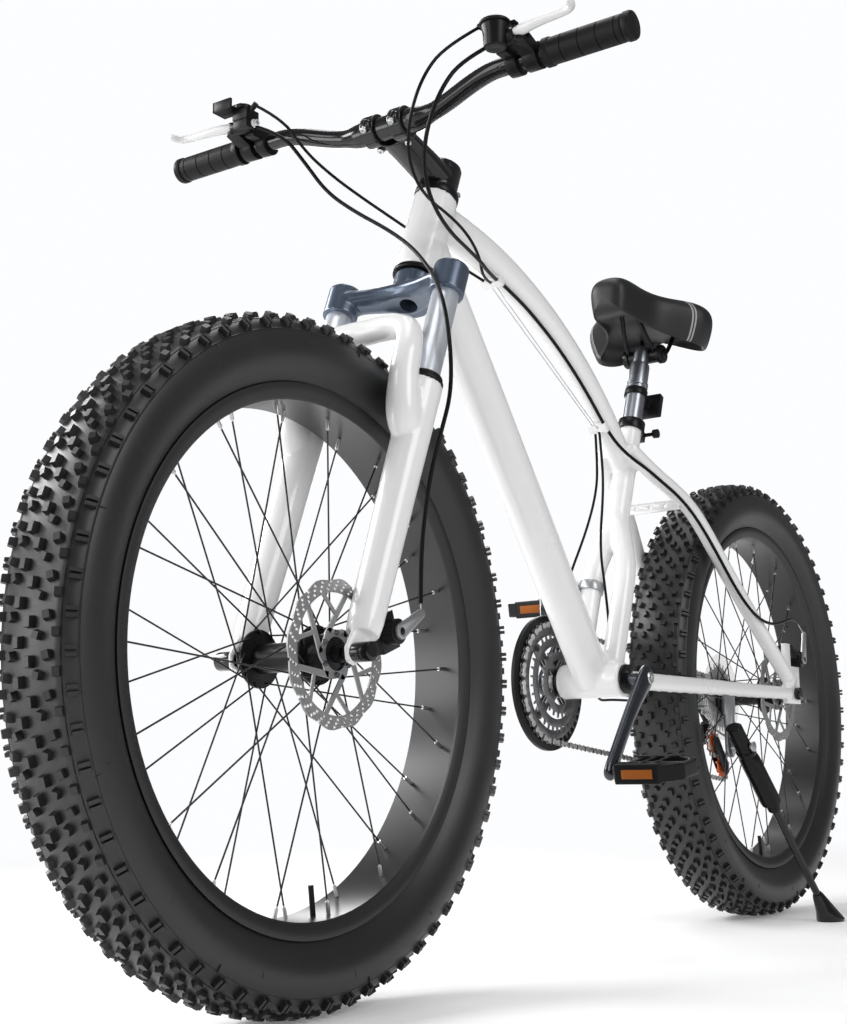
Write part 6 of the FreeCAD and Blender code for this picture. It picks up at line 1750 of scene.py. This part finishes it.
for side_name, meshes in shift_meshes.items():
    shifter = bevelled(side_name + "_shifter", meshes, 0.7, black_plastic)
    finished(shifter, side_name + "_shift_lever", side_name + "_shift_lever", slot="black_plastic")
print("perches", len(perches.data.polygons))

# %% [markdown]
# ## Cranks and pedals
# A forged crank is thick at the spindle, slim in the middle and swells again at the pedal. The
# pedals are open platforms that narrow towards their outer end, with a reflector front and back.

# %% Cranks
crank_stations = (
    # share of the arm, half width, half thickness, bow
    (-0.105, 10.0, 6.4, 0.0), (-0.06, 16.0, 8.4, 0.0), (0.03, 18.0, 9.0, 0.0), (0.16, 15.6, 8.8, 2.0),
    (0.4, 12.8, 8.0, 4.0), (0.7, 11.8, 7.4, 3.4), (0.88, 12.8, 7.2, 1.0), (0.98, 14.0, 7.2, 0.0),
    (1.06, 11.6, 6.8, 0.0), (1.085, 7.0, 5.4, 0.0),
)
arm_side = 82
cap_outline = ((0.3, 0), (8.6, 0), (8.6, 1.6), (7.6, 2.6), (3.4, 2.6), (3.0, 1.6), (0.3, 1.6))
crank_meshes = [cross_bar("spindle", bracket, 88, 8.5)]
cap_meshes = []
for sign, side_name in sides:
    root = bracket + leftward(sign * arm_side)
    eye = joint_place(side_name + "_pedal_spin")
    eye = Vector((eye.x, sign * arm_side * MM, eye.z))
    way = (eye - root).normalized()
    across = way.cross(LEFT)
    reach = (eye - root).length
    stations = []
    for share, half_width, half_thickness, bow in crank_stations:
        place = root + way * (share * reach) + across * (sign * bow * MM)
        stations.append((place, across, LEFT, half_width, half_thickness))
    arm = subdivided("arm", sweep("arm", stations, 12), 2)
    crank_meshes.append(arm.data)
    bpy.data.objects.remove(arm)
    cap_meshes.append(lathe("cap", cap_outline, root + leftward(sign * 7.0), 28, LEFT * sign))
    cap_meshes.append(straight("pedal_axle", eye, eye + leftward(sign * 14), 6.2))
cranks = placed("crank_arms", crank_meshes, 50, crank_alloy, "crank", "crankset", slot="black_paint")
placed("crank_caps", cap_meshes, 38, pale_steel, "crank")
print("cranks", len(cranks.data.polygons))

guard_outline = (
    (82, -71.4), (96, -72), (98, -73), (98.6, -75), (98.6, -79), (97.4, -80), (96.2, -79), (96.2, -76),
    (95, -74.6), (82, -74.2),
)
guard_middle = Vector((bracket.x, 0, bracket.z))
guard_mesh = lathe("guard_disc", guard_outline, guard_middle, 96)
placed("guard_disc", [guard_mesh], 40, black_plastic, "crank", "chain_guard", slot="gloss_black_plastic")

# %% [markdown]
# A platform pedal is a moulded cage round a barrel. Its bars are boxes that are melted together,
# because a mould leaves round corners, and the amber reflectors are pieces of their own.

# %% Pedals
pedal_bars = (
    # start and end as (forward, outward), half width and half height
    ((37, 2), (37, 66), 6, 13), ((-37, 2), (-37, 66), 6, 13), ((37, 64), (18, 88), 5, 11),
    ((-37, 64), (-18, 88), 5, 11), ((-20, 87), (20, 87), 5, 10), ((-40, 5), (40, 5), 5, 10),
    ((-38, 26), (38, 26), 2.8, 11), ((-38, 46), (38, 46), 2.8, 11),
)
pedal_side = 106
lens_reach, lens_side = 42.4, 35
pedal_tilt = math.radians(9)
pedal_front = FORWARD * math.cos(pedal_tilt) - UP * math.sin(pedal_tilt)
pedal_up = UP * math.cos(pedal_tilt) + FORWARD * math.sin(pedal_tilt)


def pedal_body(name, centre, sign):
    meshes = [straight("barrel", centre - leftward(sign * 12), centre + leftward(sign * 88), 10)]
    for start, end, half_width, half_height in pedal_bars:
        first = centre + pedal_front * (start[0] * MM) + leftward(sign * start[1])
        last = centre + pedal_front * (end[0] * MM) + leftward(sign * end[1])
        way = (last - first).normalized()
        length = (last - first).length / MM
        middle, across = (first + last) / 2, way.cross(pedal_up)
        meshes.append(box_mesh(middle, across, pedal_up, length, 2 * half_width, 2 * half_height))
    return cast(name, meshes, 1.3, 3, black_plastic)


for sign, side_name in sides:
    place = joint_place(side_name + "_pedal_spin")
    centre = Vector((place.x, sign * pedal_side * MM, place.z))
    pedal = pedal_body(side_name + "_pedal_body", centre, sign)
    finished(pedal, side_name + "_pedal", side_name + "_pedal", slot="black_plastic")
    lenses = []
    for forward in (lens_reach, -lens_reach):
        lens_at = centre + pedal_front * (forward * MM) + leftward(sign * lens_side)
        lenses.append(box_mesh(lens_at, LEFT, pedal_up, 3, 44, 12))
    amber = bevelled(side_name + "_pedal_lenses", lenses, 0.8, reflector_amber)
    finished(amber, side_name + "_pedal")
    print(side_name, "pedal", len(pedal.data.polygons))


# %% [markdown]
# ## Kickstand
# The stand is a stout sleeve with a collar, a thin rod that slides in it and a flared foot.

# %% Kickstand
stand_top = Vector((-355, 85, 310)) * MM
stand_foot = Vector((-574, 144, 0)) * MM
stand_way = (stand_foot - stand_top).normalized()
sleeve_outline = (
    (0.4, 0), (11.5, 0), (13, 1.5), (13, 44), (15.4, 46), (15.4, 52), (14, 54), (15.6, 58), (16.2, 64),
    (16.2, 140), (15.6, 146), (12.4, 149), (10.6, 150), (10.6, 159), (9.4, 161), (6.4, 161),
    (6.4, 70), (0.4, 70),
)
sleeve = lathe("stand_sleeve", sleeve_outline, stand_top, 40, stand_way, LEFT)
placed("stand_sleeve", [sleeve], 38, satin_black, "kickstand_sleeve", "kickstand_sleeve", slot="black_alloy")
rod_in_sleeve, foot_length = 120, 52
rod_start = stand_top + stand_way * (rod_in_sleeve * MM)
rod_end = stand_foot - stand_way * (foot_length * MM)
rod_mesh = tube("stand_rod", [rod_start, rod_end], 5.8, 24)
stand_across = stand_way.cross(LEFT).normalized()
stand_up = stand_way.cross(stand_across)
foot_stations = [
    (rod_end - stand_way * (4 * MM), stand_across, stand_up, 7.4, 7.4),
    (rod_end, stand_across, stand_up, 9.0, 9.0),
    (stand_foot - stand_way * (28 * MM), stand_across, stand_up, 15, 14),
    (stand_foot + upward(4), FORWARD, -LEFT, 28, 22),
    (stand_foot + upward(0.2), FORWARD, -LEFT, 27, 21),
]
stand_meshes = [rod_mesh, sweep("foot", foot_stations, 28)]
stand = placed(
    "stand_leg", stand_meshes, 40, black_paint, "kickstand_leg", "kickstand_leg", slot="black_alloy"
)
print("stand leg", len(stand.data.polygons))

# %% [markdown]
# ## Chain
# The chain runs round the chainring, two jockey wheels and a sprocket. Its line is made of
# tangents and arcs. Wide and narrow links take turns, so one geometry node tree lays two rows
# of links along it, each at every second pitch, and the second row starts one pitch later.

# %% Chain line
chain_pitch = 12.7
chain_side = -68.0
drive_wheels = (
    (bracket, 42, -1), (joint_place("lower_jockey_spin"), 11, -1), (joint_place("upper_jockey_spin"), 11, 1),
    (rear_axle, 18, -1),
)


def tangent_run(first, second):
    (start, start_radius, start_sign), (end, end_radius, end_sign) = first, second
    span = end - start
    ease = (end_sign * end_radius - start_sign * start_radius) / span.length
    way = span.normalized()
    normal = way * ease + Vector((-way.z, 0, way.x)) * math.sqrt(1 - ease * ease)
    return start - normal * (start_sign * start_radius), end - normal * (end_sign * end_radius)


def chain_line():
    wheels = []
    for centre, teeth, sign in drive_wheels:
        radius = chain_pitch * MM / (2 * math.sin(math.pi / teeth))
        wheels.append((Vector((centre.x, chain_side * MM, centre.z)), radius, sign))
    count = len(wheels)
    runs = [tangent_run(wheels[index], wheels[(index + 1) % count]) for index in range(count)]
    line = []
    for index, (centre, radius, sign) in enumerate(wheels):
        entry = runs[index - 1][1] - centre
        leave = runs[index][0] - centre
        start = math.atan2(entry.z, entry.x)
        turn = (math.atan2(leave.z, leave.x) - start) * sign % (2 * math.pi) * sign
        steps = max(4, int(abs(turn) / 0.08))
        for step in range(steps + 1):
            angle = start + turn * step / steps
            line.append(centre + Vector((math.cos(angle), 0, math.sin(angle))) * radius)
    return line


# %% [markdown]
# A link is two plates on two pins. The links could be placed one by one, but a tree that turns
# one link into the line's direction at each point is shorter, and a size is easy to change.

# %% A tree that lays links along a line


def link_tree():
    inputs = [("Geometry", "Geometry"), ("Count", "Int")]
    inputs += [(name, "Float") for name in ("Pitch", "Plate", "Gap", "Height")]
    graph, given = new_tree("chain_links", inputs + [("Finish", "Material")])
    tree = graph.tree

    def moved(mesh, x, y, turned):
        rotation = (math.pi / 2, 0, 0) if turned else (0, 0, 0)
        sockets = {"Geometry": mesh, "Translation": graph.vector(x, y), "Rotation": rotation}
        return graph.node("GeometryNodeTransform", None, sockets)

    sockets = {"Vertices": 14, "Radius": given("Height") * 0.5, "Depth": given("Plate")}
    disc = graph.node("GeometryNodeMeshCylinder", None, sockets)
    bar_size = graph.vector(given("Pitch"), given("Plate") * 0.96, given("Height") * 0.62)
    bar = graph.node("GeometryNodeMeshCube", None, {"Size": bar_size})
    reach = given("Gap") * 2.0 + given("Plate") * 1.4
    sockets = {"Vertices": 12, "Radius": given("Height") * 0.26, "Depth": reach}
    pin = graph.node("GeometryNodeMeshCylinder", None, sockets)
    pieces = [moved(pin, given("Pitch") * 0.5, 0.0, True), moved(pin, given("Pitch") * -0.5, 0.0, True)]
    for sign in (1.0, -1.0):
        pieces.append(moved(bar, 0.0, given("Gap") * sign, False))
        for end in (0.5, -0.5):
            pieces.append(moved(disc, given("Pitch") * end, given("Gap") * sign, True))
    link = tree.nodes.new("GeometryNodeJoinGeometry")
    for piece in pieces:
        tree.links.new(piece.socket, link.inputs[0])
    curve = graph.node("GeometryNodeMeshToCurve", None, {"Mesh": given("Geometry")})
    points = tree.nodes.new("GeometryNodeCurveToPoints")
    points.mode = "COUNT"
    graph.feed(points.inputs["Curve"], curve)
    graph.feed(points.inputs["Count"], given("Count"))
    settings = {"axis": "X", "pivot_axis": "Y"}
    tangent = Value(graph, points.outputs["Tangent"])
    spin = graph.node("FunctionNodeAlignRotationToVector", settings, {"Vector": tangent})
    sockets = {"Points": Value(graph, points.outputs["Points"]), "Rotation": spin}
    sockets["Instance"] = Value(graph, link.outputs[0])
    row = graph.node("GeometryNodeInstanceOnPoints", None, sockets)
    row = graph.node("GeometryNodeRealizeInstances", None, {"Geometry": row})
    return close_tree(graph, row, given("Finish"))


chain_tree = link_tree()


def link_row(line, count, plate, gap, height, material):
    mesh = bpy.data.meshes.new("chain_line")
    edges = [(index, (index + 1) % len(line)) for index in range(len(line))]
    mesh.from_pydata([tuple(point) for point in line], edges, [])
    values = {"Count": count, "Pitch": chain_pitch * MM, "Plate": plate * MM, "Gap": gap * MM}
    values.update({"Height": height * MM, "Finish": material})
    return grown(chain_tree, mesh, values)


# %% [markdown]
# The wide links are bright, and the narrow ones between their plates are painted dark as the shade
# in the gaps, so each row has a finish of its own. Both rows take their count from the length of the line.

# %% Both rows of links


def moved_on(line, distance):
    # The same closed line, started further along.
    index = 0
    while (line[index + 1] - line[index]).length < distance:
        distance -= (line[index + 1] - line[index]).length
        index += 1
    way = (line[index + 1] - line[index]).normalized()
    return [line[index] + way * distance] + line[index + 1:] + line[:index + 1]


route = []
for point in chain_line():
    if not route or (point - route[-1]).length > 0.01 * MM:
        route.append(point)
lengths = [(route[(index + 1) % len(route)] - point).length for index, point in enumerate(route)]
link_count = round(sum(lengths) / (chain_pitch * MM) / 2) * 2
next_link = moved_on(route, sum(lengths) / link_count)
wide_row = link_row(route, link_count // 2, 0.75, 2.15, 8.6, chain_steel)
placed("chain_links", [wide_row], 38, chain_steel, "frame", "chain", slot="dark_steel")
# The narrow links carry painted shade, dark like the gaps between the bright plates.
narrow_row = link_row(next_link, link_count // 2, 0.75, 1.35, 7.2, chain_gap_shade)
placed("chain_inner_links", [narrow_row], 38, chain_gap_shade, "frame")
print("chain links", link_count)

# %% [markdown]
# ## Floor
# A plain pale floor carries the soft shadow.

# %% Floor
floor_colour = (0.9, 0.9, 0.9)
floor_lift = (0.16, 0.16, 0.16)
floor_fade = (1.3, 3.4)
floor_mesh = bpy.data.meshes.new("floor")
floor_shape = bmesh.new()
bmesh.ops.create_circle(floor_shape, cap_ends=True, segments=64, radius=14.0)
floor_shape.to_mesh(floor_mesh)
floor_shape.free()
floor = new_object("floor", floor_mesh)
floor_finish, floor_graph = material_graph("floor_finish")
floor_place = object_place(floor_graph)
floor_along, floor_side = floor_graph.split(floor_place)[:2]
floor_away = floor_along * floor_along + floor_side * floor_side
floor_away = floor_away.math("SQRT", floor_away, 0.0)
fade = {"Value": floor_away, "From Min": floor_fade[0], "From Max": floor_fade[1]}
fade = floor_graph.node("ShaderNodeMapRange", {"interpolation_type": "SMOOTHSTEP"}, fade)
floor_tint = floor_graph.mix_colour(fade, rgba(floor_colour), rgba((0.0, 0.0, 0.0)))
floor_glow = floor_graph.mix_colour(fade, rgba(floor_lift), rgba(sky_colour))
floor_sockets = {"Base Color": floor_tint, "Emission Color": floor_glow, "Emission Strength": 1.0}
floor_sockets.update({"Roughness": 0.9, "Specular IOR Level": 0.0})
close_surface(floor_finish, floor_graph, floor_sockets)
painted(floor, floor_finish)
print("floor", len(floor.data.polygons))

# %% Last update
bpy.context.view_layer.update()
